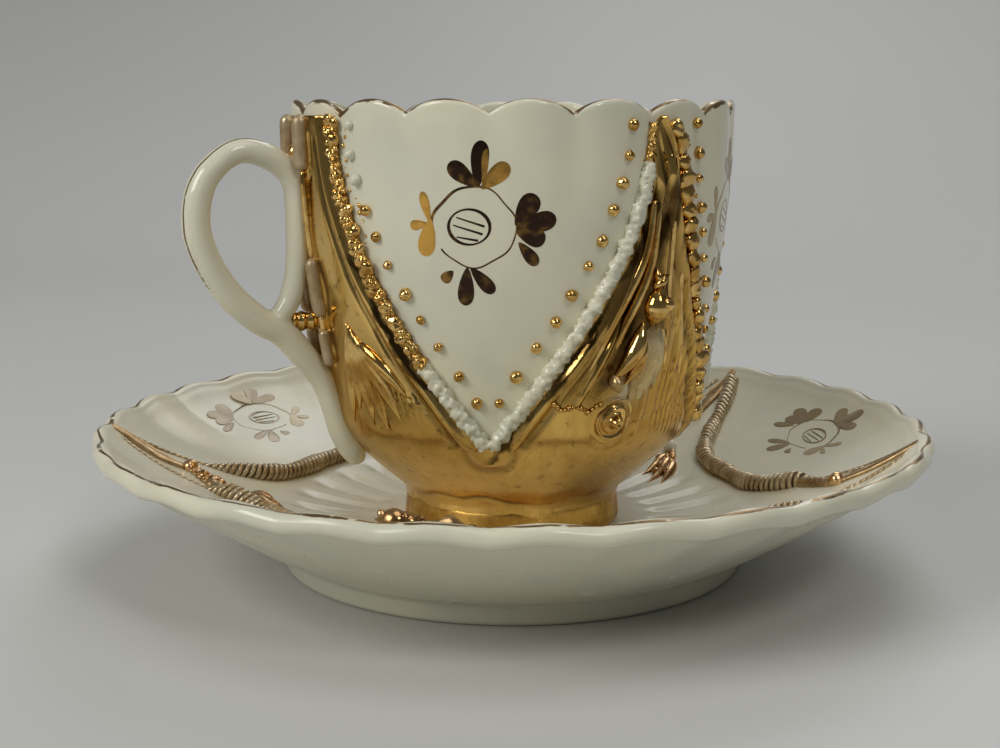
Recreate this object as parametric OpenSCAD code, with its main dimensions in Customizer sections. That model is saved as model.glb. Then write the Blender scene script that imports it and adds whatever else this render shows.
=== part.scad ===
// Porcelain teacup and saucer with gilt relief.
// Millimetres, +Z up. The origin is on the table under the middle of the saucer,
// and the cup's handle points along -X.

/* [Saucer] */
// Outside diameter over the lip
saucer_d = 142; // [130:1:152]
// Height of the lip above the table
saucer_h = 24.5; // [22:0.5:28]
// Thickness of the rolled lip
lip_t = 3; // [2.4:0.1:3.6]
// Height of the flat seat for the cup above the table
seat_h = 6.9; // [6:0.1:8]
// Diameter of the flat seat
seat_d = 43; // [41:0.5:46]
// How strongly the dish curves up from the seat
dish_power = 1.8; // [1.5:0.05:2.1]
// Outside diameter of the foot ring
saucer_foot_d = 80; // [74:1:88]
// Height of the foot ring
saucer_foot_h = 3.8; // [3:0.1:4.2]
// Width of the foot ring
saucer_foot_w = 3.4; // [2.6:0.1:4.2]
// Number of lobes round the lip, and of flutes in the dish
lobes = 30; // [26:2:34]
// Depth of the notches between the lobes
lobe_h = 1.1; // [0.8:0.1:1.4]
// Radius at which the flutes of the dish end
flute_end_r = 38; // [35:0.5:39]
// Depth of the grooves between the flutes
flute_depth = 0.6; // [0.4:0.05:0.8]
// Number of panels round the saucer
saucer_panels = 5; // [5:1:5]
// Angle of the saucer's first tip, if the tips were laid evenly
saucer_turn = 21; // [0:1:71]

/* [Cup] */
// Diameter of the rim
rim_d = 74; // [71:0.5:77]
// Height of the cup over the points of the rim
cup_h = 71.6; // [67:0.2:76]
// Diameter at the shoulder, where the belly turns into the wall
shoulder_d = 62.8; // [60:0.2:65]
// Height of the shoulder above the cup's foot
shoulder_h = 22.1; // [20:0.1:24]
// Diameter of the waist above the foot
waist_d = 36.6; // [35:0.2:38]
// Diameter of the foot ring
foot_d = 37.4; // [36:0.2:39]
// Height of the foot ring
foot_h = 5.3; // [4.6:0.1:6]
// Width of the foot ring
foot_w = 3.4; // [2.8:0.1:4]
// Thickness of the wall
wall_t = 2.3; // [1.9:0.1:2.7]
// Thickness of the floor
floor_t = 3.4; // [2.8:0.1:4]
// Number of scallops round the rim
scallops = 18; // [18:18:18]
// Height of the scallops
scallop_h = 2; // [1.6:0.1:2.4]

/* [Relief] */
// Thickness of the gilt calyx on the bowl
gilt_t = 0.7; // [0.5:0.05:0.9]
// Half angle of the widest white panel at the rim
panel_half = 41; // [39.5:0.25:42]
// Height of a panel's lower point above the cup's foot
panel_low_h = 18.6; // [17.5:0.1:20]
// Diameter of the cord along a panel's edge
cord_d = 2.5; // [2.2:0.05:2.7]
// Diameter of an enamel bead
bead_d = 1.7; // [1.4:0.05:1.9]
// Number of beads down one side of a panel
beads_a_side = 11; // [9:1:12]
// Distance of the beads from the panel's edge
bead_inset = 4.6; // [4:0.1:5]
// Diameter of the bud in a sepal
bud_d = 4.6; // [4:0.1:5]
// Height of the bud's middle above the cup's foot
bud_h = 41; // [40:0.2:42]
// Length of the drop that hangs from the bud
drop_l = 13; // [12:0.2:14]
// Width of the drop
drop_w = 5.6; // [5:0.1:6]
// Diameter of the saucer's cord
saucer_cord_d = 2.6; // [2.3:0.05:2.9]

/* [Handle] */
// Distance from the bowl's wall to the middle of the loop's outer side
handle_reach = 18.3; // [17:0.1:20]
// Height of the middle of the loop's top above the cup's foot
handle_top_h = 63.5; // [62:0.1:64.5]
// Height of the middle of the loop's lower end above the cup's foot
handle_low_h = 36.3; // [35:0.1:37.5]
// Width of the handle, across the loop
handle_w = 5.4; // [5:0.1:6]
// Thickness of the handle, in the plane of the loop
handle_t = 4.4; // [4:0.1:4.8]

/* [Hidden] */
PANELS = ["front_left", "front_right", "back_right", "back_left"];
// The panels were laid by hand: the angle of each one's middle, and its width as a share of the widest
PANEL_AT = [-121, -38, 41, 121.5];
PANEL_WIDE = [1, 0.8, 0.9, 0.9];
SEPALS = ["front", "right", "back"];
SAUCER_PITCH = 360 / saucer_panels;

$fn = 96;
porcelain = [0.90, 0.90, 0.86];
gold = [0.78, 0.56, 0.20];
pale_gold = [0.76, 0.66, 0.50];

// Radii and heights that follow from the driving sizes
saucer_r = saucer_d / 2;
seat_r = seat_d / 2;
lip_mid_r = saucer_r - lip_t / 2;
rim_r = rim_d / 2;
rim_h = cup_h - scallop_h;
waist_r = waist_d / 2;
shoulder_r = shoulder_d / 2;
foot_r = foot_d / 2;
profile_steps = 26;

// The bowl's outside: a belly that swells from the waist, then a wall that opens to the rim
belly_power = 1.5;
belly_fill = 2.6;
wall_slope = (shoulder_r < rim_r ? rim_r - shoulder_r : 0) * PI / 2 / (rim_h - shoulder_h);
function belly(t) = 1 - pow(1 - pow(t, belly_power), belly_fill);
function wall_r(h) =
    shoulder_r + (rim_r - shoulder_r) * sin(90 * min(1, (h - shoulder_h) / (rim_h - shoulder_h)));
function belly_r(h) =
    waist_r + (shoulder_r + wall_slope * (h - shoulder_h) - waist_r)
    * belly(max(0, h - foot_h) / (shoulder_h - foot_h));
function cup_r(h) = h < shoulder_h ? belly_r(h) : wall_r(h);
// Lean of the bowl's outside from the vertical
function cup_lean(h) = atan((cup_r(h + 0.1) - cup_r(h - 0.1)) / 0.2);

// The dish's upper side, from the seat to the lip
function dish_h(r) =
    seat_h + (saucer_h - lip_t / 2 - seat_h) * pow(max(0, r - seat_r) / (lip_mid_r - seat_r), dish_power);
function dish_rise(r) = atan((dish_h(r + 0.1) - dish_h(r - 0.1)) / 0.2);
// Its underside, from the foot ring to the lip
under_power = 1.1;
under_start_r = saucer_foot_d / 2 + 1;
function under_h(r) =
    saucer_foot_h + (saucer_h - 0.85 * lip_t - saucer_foot_h)
    * pow(max(0, r - under_start_r) / (lip_mid_r - under_start_r), under_power);

// The edge of white panel i: its half angle at a height above the cup's foot
panel_power = 0.95;
function panel_share(h) = max(0, min(1, (h - panel_low_h) / (rim_h - panel_low_h)));
function panel_edge(i, h) = panel_half * PANEL_WIDE[i] * sin(90 * pow(panel_share(h), panel_power));
// Sepal i lies between panels i and i + 1: the angle of its middle, and its half angle
function sepal_at(i, h) = (PANEL_AT[i] + panel_edge(i, h) + PANEL_AT[i + 1] - panel_edge(i + 1, h)) / 2;
function sepal_half(i, h) = PANEL_AT[i + 1] - panel_edge(i + 1, h) - sepal_at(i, h);

// A point on the bowl's outside, raised by lift, at an angle and a height above the cup's foot
function on_cup(at, h, lift) = [
    (cup_r(h) + lift * cos(cup_lean(h))) * cos(at),
    (cup_r(h) + lift * cos(cup_lean(h))) * sin(at),
    seat_h + h - lift * sin(cup_lean(h))
];
// A point on the dish, raised by lift
function on_dish(at, r, lift) = [r * cos(at), r * sin(at), dish_h(r) + lift];

// Puts a piece that stands on the XY plane onto the bowl, its X axis up the wall
module on_wall(at, h, lift = 0, turn = 0) {
    translate(on_cup(at, h, lift))
        rotate([0, 0, at])
            rotate([0, 90 + cup_lean(h), 0])
                rotate([0, 0, 180 + turn])
                    children();
}

// Puts a piece that stands on the XY plane onto the dish, its X axis outwards up the slope
module on_slope(at, r, lift = 0) {
    translate(on_dish(at, r, lift))
        rotate([0, 0, at])
            rotate([0, -dish_rise(r), 0])
                children();
}

// Curves
function bezier(a, b, c, d, t) =
    a * pow(1 - t, 3) + 3 * b * t * pow(1 - t, 2) + 3 * c * t * t * (1 - t) + d * pow(t, 3);
function spline_at(a, b, c, d, t) =
    0.5 * (2 * b + (c - a) * t + (2 * a - 5 * b + 4 * c - d) * t * t + (3 * b - a - 3 * c + d) * t * t * t);
function open_spline(p, steps) = concat(
    [for (i = [0 : len(p) - 2], k = [0 : steps - 1])
        spline_at(p[max(0, i - 1)], p[i], p[i + 1], p[min(len(p) - 1, i + 2)], k / steps)],
    [p[len(p) - 1]]
);
function unit(v) = v / norm(v);

// A solid through rings of points that all have the same number of points
module loft(rings) {
    n = len(rings);
    m = len(rings[0]);
    sides = [for (i = [0 : n - 2], k = [0 : m - 1]) let (j = i + 1, l = (k + 1) % m)
        each [[i * m + l, i * m + k, j * m + k], [i * m + l, j * m + k, j * m + l]]];
    caps = concat(
        [for (k = [1 : m - 2]) [0, k, k + 1]],
        [for (k = [1 : m - 2]) [(n - 1) * m, (n - 1) * m + k + 1, (n - 1) * m + k]]
    );
    polyhedron([for (ring = rings) each ring], concat(sides, caps));
}

// SAUCER

lip_steps = 12;
module saucer_profile() {
    dish = [for (i = [0 : profile_steps - 1]) let (r = seat_r + (lip_mid_r - seat_r) * i / profile_steps)
        if (dish_h(r) < saucer_h - lip_t * 0.72) [r, dish_h(r)]];
    under = [for (i = [profile_steps - 1 : -1 : 0])
        let (r = under_start_r + (lip_mid_r - under_start_r) * i / profile_steps)
        if (r < lip_mid_r - lip_t * 0.3) [r, under_h(r)]];
    lip = [for (i = [0 : lip_steps]) let (a = 170 - 280 * i / lip_steps)
        [lip_mid_r + lip_t / 2 * cos(a), saucer_h - lip_t / 2 + lip_t / 2 * sin(a)]];
    polygon(concat([[0, saucer_foot_h], [0, seat_h]], dish, lip, under));
}

// What is cut away above one lobe of a rim of radius r: all that lies above an arc across the lobe
module above_arc(r, count, depth, top, clear) {
    half = (r + 0.5) * tan(180 / count);
    arc_r = (half * half + depth * depth) / (2 * depth);
    inner_r = r * 0.82;
    difference() {
        translate([inner_r, -half, top - depth - 1])
            cube([r * 1.06 - inner_r, 2 * half, depth + 1 + clear]);
        translate([inner_r - 1, 0, top - arc_r])
            rotate([0, 90, 0])
                cylinder(r = arc_r, h = r * 1.06 - inner_r + 2);
    }
}

flute_start_r = seat_r + 2;
groove_r = 1.3;
lobe_clear = 0.15;
module saucer_plate() {
    color(porcelain)
        difference() {
            rotate_extrude()
                saucer_profile();
            for (i = [0 : lobes - 1])
                rotate([0, 0, saucer_turn + i * 360 / lobes])
                    above_arc(saucer_r, lobes, lobe_h, saucer_h + lobe_clear, 2);
            for (i = [0 : lobes - 1])
                rotate([0, 0, saucer_turn + (i + 0.5) * 360 / lobes])
                    flute_groove();
        }
}

// A straight round-bottomed groove from the seat out to the end of the flutes
module flute_groove() {
    lift = groove_r - flute_depth;
    from = [flute_start_r, dish_h(flute_start_r) + lift];
    to = [flute_end_r, dish_h(flute_end_r) + lift];
    run = to - from;
    translate([from.x, 0, from.y])
        rotate([0, 90 - atan2(run.y, run.x), 0])
            cylinder(r = groove_r, h = norm(run));
}

module saucer_foot_ring() {
    outer = saucer_foot_d / 2;
    bottom_inset = 0.5;
    color(porcelain)
        rotate_extrude()
            polygon([
                [outer - saucer_foot_w, saucer_foot_h],
                [outer - saucer_foot_w + bottom_inset, 0],
                [outer - bottom_inset, 0],
                [outer, bottom_inset],
                [outer, saucer_foot_h]
            ]);
}

// The tips were laid by hand, each a few degrees off its even place
tip_shift = [2.5, -0.5, -4.5, -1.5, 12.5];
function tip_at(i) = saucer_turn + (i - 1) * SAUCER_PITCH + tip_shift[(i - 1) % len(tip_shift)];

// A panel of the saucer is bounded by a twisted cord, from tip to tip round the panel's inner end
cord_low_r = 42;
cord_end_r = lip_mid_r - 3.2;
cord_bow = 0.37;
cord_end = 0.475;
saucer_cord_rings = 70;
// Place on a cord, from -1 to 1 along it: [share of the panel's angle, radius]
function saucer_cord_polar(s) = let (t = abs(s), e = s < 0 ? -1 : 1)
    let (p = bezier([0, cord_low_r], [cord_bow, cord_low_r - 1], [cord_bow, cord_low_r + 10],
        [cord_end, cord_end_r], t)) [e * p.x, p.y];
function saucer_cord_point(i, s) = let (
        middle = (tip_at(i) + tip_at(i + 1)) / 2,
        span = tip_at(i + 1) - tip_at(i),
        p = saucer_cord_polar(s))
    on_dish(middle + span * p.x, p.y, saucer_cord_d * 0.3);
module saucer_cord(i) {
    color(pale_gold)
        loft([for (k = [0 : saucer_cord_rings]) let (s = -1 + 2 * k / saucer_cord_rings)
            cord_ring(saucer_cord_point(i, s),
                saucer_cord_point(i, s + 0.01) - saucer_cord_point(i, s - 0.01),
                [0, 0, 1], saucer_cord_d, k)]);
}

// One ring of a twisted cord: a point on its middle line, the way it runs, the way out of the clay under it,
// its diameter and the ring's number along the cord
cord_sides = 6;
cord_lobe = 0.2;
cord_twist = 52;
function cord_ring(p, run, out, d, k) = let (
        along = unit(run),
        side = unit(cross(along, out)),
        up = cross(side, along))
    [for (j = [0 : cord_sides - 1]) let (
            a = -360 * j / cord_sides,
            r = d / 2 * (1 - cord_lobe + cord_lobe * cos(2 * (a - cord_twist * k))))
        p + r * (cos(a) * side + sin(a) * up)];

// Half of a solid of revolution, round its long axis X, lying flat on the XY plane
module lying_teardrop(length, width, height) {
    steps = 14;
    intersection() {
        scale([1, 1, 2 * height / width])
            rotate([90, 0, 90])
                rotate_extrude()
                    polygon([for (i = [0 : steps]) let (t = i / steps)
                        [width / 2 * sin(180 * pow(t, 0.62)), length * t]]);
        translate([-1, -width, 0])
            cube([length + 2, 2 * width, height + 1]);
    }
}

tip_l = 11;
tip_w = 5;
tip_height = 1.3;
module saucer_tip(i) {
    color(pale_gold)
        on_slope(tip_at(i), lip_mid_r - 3 - tip_l)
            lying_teardrop(tip_l, tip_w, tip_height);
}

pearl_gap = 1.6;
module saucer_pearl(i) {
    color(gold)
        on_slope(tip_at(i), lip_mid_r - 3 - tip_l - pearl_gap)
            dome(bead_d * 1.3);
}

// A bead of enamel: most of a ball on a flat base
module dome(d) {
    sunk = d * 0.2;
    rotate_extrude()
        intersection() {
            translate([0, d / 2 - sunk])
                circle(d = d);
            square([d, d]);
        }
}

// CUP

floor_h = foot_h + floor_t;
inner_rise = 1.4;
function inner_r(h) = cup_r(h - inner_rise) - wall_t;
over_rim = 0.6;
function outside(raise, top) =
    [for (i = [0 : profile_steps]) let (h = foot_h + (top - foot_h) * i / profile_steps)
        [cup_r(h) + raise, seat_h + h]];
function inside(top) =
    [for (i = [profile_steps : -1 : 0]) let (h = floor_h + (top - floor_h) * i / profile_steps)
        [inner_r(h), seat_h + h]];

module cup_bowl() {
    top = cup_h + over_rim;
    color(porcelain)
        difference() {
            rotate_extrude()
                polygon(concat(
                    [[0, seat_h + foot_h]], outside(0, top), inside(top), [[0, seat_h + floor_h]]));
            for (i = [0 : scallops - 1])
                rotate([0, 0, (i + 0.5) * 360 / scallops])
                    above_arc(rim_r, scallops, scallop_h, seat_h + cup_h, 2);
        }
}

module cup_foot_ring() {
    flare = 0.3;
    color(gold)
        rotate_extrude()
            polygon([
                [foot_r - foot_w, seat_h],
                [foot_r - flare, seat_h],
                [foot_r, seat_h + 1.2],
                [waist_r, seat_h + foot_h],
                [waist_r - foot_w, seat_h + foot_h]
            ]);
}

// Seen along the radius, the outline of a white panel
panel_rows = 12;
module panel_prism(i) {
    side = [for (k = [0 : panel_rows]) let (
            h = panel_low_h + (rim_h - panel_low_h) * k / panel_rows,
            y = (cup_r(h) + gilt_t) * sin(panel_edge(i, h)))
        [y, seat_h + h]];
    above = seat_h + cup_h + 4;
    outline = concat(side, [[side[panel_rows].x, above], [-side[panel_rows].x, above]],
        [for (k = [panel_rows : -1 : 1]) [-side[k].x, side[k].y]]);
    rotate([0, 0, PANEL_AT[i]])
        translate([waist_r * 0.6, 0, 0])
            rotate([90, 0, 90])
                linear_extrude(rim_r)
                    polygon(outline);
}

calyx_top_h = rim_h - 0.6;
module calyx_blank(raise) {
    rotate_extrude()
        polygon(concat(
            outside(raise, calyx_top_h),
            [for (i = [profile_steps : -1 : 0]) outside(0, calyx_top_h)[i]]
        ));
}

module gilt_calyx() {
    color(gold)
        difference() {
            calyx_blank(gilt_t);
            for (i = [0 : len(PANELS) - 1])
                panel_prism(i);
        }
}

// The cord along a panel's edge: down one side, round the panel's lower point and up the other side,
// thinning towards the rim
cup_cord_rings = 40;
cord_turn_steps = 5;
cord_turn_gap = 0.3;
cord_top_h = rim_h - 2.6;
function cup_cord_d(h) = cord_d * (1 - 0.28 * pow(panel_share(h), 3));
// The turn at the bottom: its radius, and the height at which the panel is that wide
cord_turn_r = (cord_d + cord_turn_gap) / 2;
cord_turn_at = asin(cord_turn_r / cup_r(panel_low_h));
function cord_turn_h(i) = panel_low_h + (rim_h - panel_low_h)
    * pow(asin(cord_turn_at / panel_half / PANEL_WIDE[i]) / 90, 1 / panel_power);
function cup_cord_side(i, side) = [for (k = [0 : cup_cord_rings]) let (
        up = (side < 0 ? cup_cord_rings - k : k) / cup_cord_rings,
        h = cord_turn_h(i) + (cord_top_h - cord_turn_h(i)) * up)
    [side * panel_edge(i, h), h]];
function cup_cord_turn(i) = [for (k = [1 : cord_turn_steps - 1]) let (a = 180 * k / cord_turn_steps)
    [-cord_turn_at * cos(a), cord_turn_h(i) - cord_turn_r * sin(a)]];
module cup_cord(i) {
    route = concat(cup_cord_side(i, -1), cup_cord_turn(i), cup_cord_side(i, 1));
    last = len(route) - 1;
    points = [for (p = route) on_cup(PANEL_AT[i] + p[0], p[1], cord_d * 0.25)];
    color(gold)
        loft([for (k = [0 : last]) let (p = route[k], at = PANEL_AT[i] + p[0])
            cord_ring(points[k], points[min(last, k + 1)] - points[max(0, k - 1)],
                [cos(at), sin(at), 0], cup_cord_d(p[1]), k)]);
}

// Beads of enamel inside a panel, in a row along each edge
bead_low_h = panel_low_h + 7.6;
bead_top_h = rim_h - 1.9;
bead_draw_in = 0.25;
function bead_edge_gap(h) = bead_inset * (1 - bead_draw_in * pow(panel_share(h), 3));
module enamel_beads(i) {
    color(gold)
        for (side = [-1, 1], k = [0 : beads_a_side - 1])
            let (h = bead_low_h + (bead_top_h - bead_low_h) * k / (beads_a_side - 1),
                inset = bead_edge_gap(h) / cup_r(h) * 180 / PI,
                edge = max(panel_edge(i, h) - inset, bead_d / cup_r(h) * 180 / PI))
                on_wall(PANEL_AT[i] + side * edge, h)
                    dome(bead_d);
}

// SEPAL RELIEF

// Ridges of drapery that fan down from the sepal's tip, each at a share of the sepal's half width
fold_sides = 6;
fold_rings = 9;
fold_d = 1.7;
fold_lanes = [-0.62, -0.34, 0.3, 0.58];
fold_top_h = rim_h - 14;
fold_low_h = panel_low_h + 9;
module sepal_folds(i) {
    color(gold)
        for (lane = fold_lanes)
            loft([for (k = [0 : fold_rings]) let (
                    t = k / fold_rings,
                    h = fold_low_h + (fold_top_h - fold_low_h) * t,
                    at = sepal_at(i, h) + lane * sepal_half(i, h),
                    r = fold_d / 2 * (0.25 + 0.75 * sin(180 * (0.08 + 0.84 * t))))
                [for (j = [0 : fold_sides - 1]) let (a = -360 * j / fold_sides)
                    on_cup(at, h, gilt_t + 0.15 + r * sin(a))
                        + r * cos(a) * [-sin(at), cos(at), 0]]]);
}

module sepal_bud(i) {
    crown_d = bud_d * 0.45;
    color(gold)
        on_wall(sepal_at(i, bud_h), bud_h, gilt_t)
            union() {
                dome(bud_d);
                translate([bud_d * 0.5, 0, 0])
                    dome(crown_d);
            }
}

drop_height = 2;
drop_gap = 0.5;
module sepal_drop(i) {
    color([0.85, 0.78, 0.62])
        on_wall(sepal_at(i, bud_h), bud_h - bud_d / 2 - drop_gap, gilt_t, 180)
            lying_teardrop(drop_l, drop_w, drop_height);
}

leaf_l = 10;
leaf_w = 2.6;
leaf_height = 1.2;
leaf_spread = 24;
leaf_out = 7;
module sepal_leaves(i) {
    color(gold)
        for (side = [-1, 1])
            on_wall(sepal_at(i, bud_h) + side * leaf_out, bud_h - bud_d * 0.7, gilt_t,
                180 + side * leaf_spread)
                lying_teardrop(leaf_l, leaf_w, leaf_height);
}

boss_d = 4.4;
boss_gap = 2.6;
// The boss sits to one side of the drop
boss_aside = 7;
module sepal_boss(i) {
    h = bud_h - bud_d / 2 - drop_gap - drop_l - boss_gap;
    color(gold)
        on_wall(sepal_at(i, h) - boss_aside, h, gilt_t)
            union() {
                cylinder(d = boss_d * 1.5, h = 0.5);
                dome(boss_d);
            }
}

// HANDLE

// The handle is a strap that rises from its leg under the rim, rounds the finger loop and runs down the
// bowl to a free tip, and the leg that closes the loop along the bowl.
// Places on the loop are [share of the reach, share of the height, share of the thickness]
strap_shape = [
    [0.00, 0.72, 0.80], [0.07, 0.87, 0.92], [0.30, 0.975, 0.94], [0.60, 1.00, 0.92], [0.90, 0.85, 1.00],
    [1.00, 0.62, 1.07], [0.92, 0.40, 1.06], [0.70, 0.18, 1.05], [0.42, 0.02, 1.05]
];
leg_shape = [
    [-0.02, 0.97, 0.70], [0.00, 0.85, 0.95], [0.00, 0.55, 0.92], [0.03, 0.30, 0.84],
    [0.11, 0.12, 0.84], [0.27, -0.01, 0.70]
];
leg_clear = 1.9;
leg_narrow = 0.92;
handle_sides = 12;
function loop_point(p) = let (
        mid_h = (handle_top_h + handle_low_h) / 2,
        leg = cup_r(mid_h) + leg_clear)
    [
        leg + p[0] * (handle_reach - leg_clear),
        handle_low_h + p[1] * (handle_top_h - handle_low_h),
        handle_t / 2 * p[2]
    ];

// The strap's tail: [drop below the loop's lower end, height above the gilding, share of the thickness]
tail_shape = [
    [1.7, 6.4, 1.05], [6.0, 3.5, 1.00], [10.2, 1.1, 0.98], [14.7, 0.1, 1.02],
    [18.2, 0.3, 1.10], [21.7, 1.6, 1.05], [24.4, 3.4, 0.60]
];
function tail_point(p) = let (h = handle_low_h - p[0]) [cup_r(h) + gilt_t + p[1], h, handle_t / 2 * p[2]];
strap = open_spline(concat([for (p = strap_shape) loop_point(p)], [for (p = tail_shape) tail_point(p)]), 4);
leg = open_spline([for (p = leg_shape) loop_point(p)], 4);

function handle_ring(path, i, width) = let (
        n = len(path),
        before = path[max(0, i - 1)],
        after = path[min(n - 1, i + 1)],
        along = unit([after.x - before.x, after.y - before.y]),
        p = path[i],
        half_w = width / 2 * min(1, p[2] / (handle_t / 2)))
    [for (k = [0 : handle_sides - 1]) let (a = 360 * (k + 0.5) / handle_sides, q = p[2] * cos(a))
        [-(p.x - along.y * q), half_w * sin(a), seat_h + p.y + along.x * q]];

module handle_blank() {
    loft([for (i = [0 : len(strap) - 1]) handle_ring(strap, i, handle_w)]);
    loft([for (i = [0 : len(leg) - 1]) handle_ring(leg, i, handle_w * leg_narrow)]);
}

// The bowl with its gilding, solid, for what is shaped to sit against it
module bowl_blank() {
    rotate_extrude()
        polygon(concat([[0, seat_h + foot_h]], outside(gilt_t, rim_h), [[0, seat_h + rim_h]]));
}

module handle() {
    color(porcelain)
        difference() {
            handle_blank();
            bowl_blank();
        }
}

bridge_d = 3.2;
bridge_h = handle_low_h;
module handle_bridge() {
    from = cup_r(bridge_h) + gilt_t;
    to = loop_point(leg_shape[4]).x - handle_t / 6;
    color(gold)
        difference() {
            translate([-to, 0, seat_h + bridge_h])
                rotate([0, 90, 0])
                    cylinder(d = bridge_d, h = to - from + 2);
            bowl_blank();
        }
}

handle_bead_d = 2.4;
handle_bead_gap = 0.05;
module handle_bead() {
    color(gold)
        translate(on_cup(180, handle_top_h, handle_bead_d / 2 + handle_bead_gap))
            sphere(d = handle_bead_d);
}

saucer_plate();
saucer_foot_ring();
for (i = [1 : saucer_panels]) saucer_cord(i);
for (i = [1 : saucer_panels]) saucer_tip(i);
for (i = [1 : saucer_panels]) saucer_pearl(i);
cup_bowl();
cup_foot_ring();
gilt_calyx();
handle();
handle_bridge();
handle_bead();
for (i = [0 : 3]) cup_cord(i);
for (i = [0 : 3]) enamel_beads(i);
for (i = [0 : 2]) sepal_folds(i);
for (i = [0 : 2]) sepal_bud(i);
for (i = [0 : 2]) sepal_drop(i);
for (i = [0 : 2]) sepal_leaves(i);
for (i = [0 : 2]) sepal_boss(i);
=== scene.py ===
import math

import bmesh
import bpy
import numpy as np
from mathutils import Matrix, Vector


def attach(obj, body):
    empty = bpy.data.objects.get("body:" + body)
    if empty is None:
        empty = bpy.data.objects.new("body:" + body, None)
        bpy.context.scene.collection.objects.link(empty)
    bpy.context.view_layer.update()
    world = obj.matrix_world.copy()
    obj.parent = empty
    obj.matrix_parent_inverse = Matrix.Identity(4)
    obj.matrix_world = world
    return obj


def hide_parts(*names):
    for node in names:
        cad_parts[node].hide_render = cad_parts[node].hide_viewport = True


# A porcelain teacup and saucer with gilt relief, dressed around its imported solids.
# Lengths are in millimetres and angles in degrees until a mesh is made.
# Heights on the cup are above its foot.
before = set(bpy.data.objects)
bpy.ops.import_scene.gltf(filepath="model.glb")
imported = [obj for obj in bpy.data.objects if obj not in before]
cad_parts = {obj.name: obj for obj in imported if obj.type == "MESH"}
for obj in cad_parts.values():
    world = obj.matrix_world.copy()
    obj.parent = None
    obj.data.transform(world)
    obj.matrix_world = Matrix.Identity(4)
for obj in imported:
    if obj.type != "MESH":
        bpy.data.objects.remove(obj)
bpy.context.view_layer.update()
MM = 0.001
# A mark that holds the distance from a painted line has this value where no line is near
FAR_OFF = 9.0

# Saucer
SAUCER_R = 71.0
SAUCER_TOP = 24.5
LIP_T = 3.0
LIP_MID_R = SAUCER_R - LIP_T / 2
LIP_SWEEP_H = 0.9
LIP_SWEEP_FROM_R = 55
SEAT_H = 6.9
SEAT_R = 21.5
DISH_POWER = 1.8
UNDER_POWER = 1.1
SAUCER_FOOT_R = 40.0
SAUCER_FOOT_H = 3.8
SAUCER_FOOT_W = 3.4
LOBES = 30
LOBE_H = 1.1
FLUTE_DEPTH = 0.6
FLUTE_FROM_R = 22.5
FLUTE_TO_R = 40.0
SAUCER_PANELS = 5
SAUCER_PITCH = 360 / SAUCER_PANELS
SAUCER_TURN = 21.0
TIP_SHIFT = [2.5, -0.5, -4.5, -1.5, 12.5]

# Cup
RIM_R = 37.0
CUP_H = 71.6
SCALLOPS = 18
SCALLOP_H = 2.0
RIM_H = CUP_H - SCALLOP_H
CUP_FLUTE_DEPTH = 0.42
CUP_FLUTE_LENGTH = 24
SHOULDER_R = 31.4
SHOULDER_H = 22.1
WAIST_R = 18.3
FOOT_R = 18.7
FOOT_H = 5.3
FOOT_W = 3.4
WALL_T = 2.3
RIM_T = 1.7
FLOOR_H = 8.7
INNER_RISE = 1.4
BELLY_POWER = 1.5
BELLY_FILL = 2.6

# Relief on the cup. The white panels were laid by hand, and a sepal or the handle lies between each two.
GILT_T = 0.7
PANELS = ["front_left", "front_right", "back_right", "back_left"]
PANEL_AT = [-121.0, -38.0, 41.0, 121.5]
PANEL_WIDE = [1.0, 0.8, 0.9, 0.9]
PANEL_HALF = 41.0
PANEL_LOW_H = 18.6
PANEL_POWER = 0.95
PANEL_LEFT_MORE = [0.0, 4.2, 4.2, 0.0]
PANEL_LEFT_MORE_H = 13.6
SEPALS = ["front", "right", "back"]
HANDLE_AT = 180.0
CALYX_TOP_H = RIM_H - 0.5
BUD_H = 41.0
BOSS_H = 22.6
BOSS_ASIDE = 7.0


# Small helps

def rise(x, low, high):
    """0 up to low, 1 from high on, and a smooth step between."""
    t = np.clip((x - low) / (high - low), 0, 1)
    return t * t * (3 - 2 * t)


def ridge(x, middle, half):
    """A rounded ridge of height 1 across x."""
    return np.exp(-((x - middle) / half) ** 2)


def unit(vectors):
    return vectors / np.linalg.norm(vectors, axis=-1, keepdims=True)


def polar(at, r, z):
    """Points at an angle, a radius and a height."""
    at, r, z = np.broadcast_arrays(np.radians(at), r, z)
    return np.stack([r * np.cos(at), r * np.sin(at), z], -1)


def lobe_drop(at, r, count, depth):
    """How far an arched rim of count lobes falls below its highest points."""
    pitch = 360 / count
    across = r * np.tan(np.radians((at + pitch / 2) % pitch - pitch / 2))
    half = r * math.tan(math.radians(pitch / 2))
    arc = (half ** 2 + depth ** 2) / (2 * depth)
    return arc - np.sqrt(arc ** 2 - across ** 2)


# The cup's surface

def wall_r(h):
    return SHOULDER_R + (RIM_R - SHOULDER_R) * np.sin(
        np.pi / 2 * np.clip((h - SHOULDER_H) / (RIM_H - SHOULDER_H), 0, 1))


def belly_r(h):
    slope = (RIM_R - SHOULDER_R) * np.pi / 2 / (RIM_H - SHOULDER_H)
    t = np.clip((h - FOOT_H) / (SHOULDER_H - FOOT_H), 0, 1)
    belly = 1 - (1 - t ** BELLY_POWER) ** BELLY_FILL
    return WAIST_R + (SHOULDER_R + slope * (h - SHOULDER_H) - WAIST_R) * belly


def cup_r(h):
    h = np.asarray(h, float)
    return np.where(h < SHOULDER_H, belly_r(h), wall_r(h))


def cup_flute(at, h):
    """Soft hollows that run down the wall from the valleys of the rim."""
    valley = ((1 + np.cos(np.radians(SCALLOPS * at))) / 2) ** 2
    return -CUP_FLUTE_DEPTH * valley * rise(h, RIM_H - CUP_FLUTE_LENGTH, RIM_H)


def cup_lean(h):
    return np.arctan((cup_r(h + 0.1) - cup_r(h - 0.1)) / 0.2)


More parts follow.
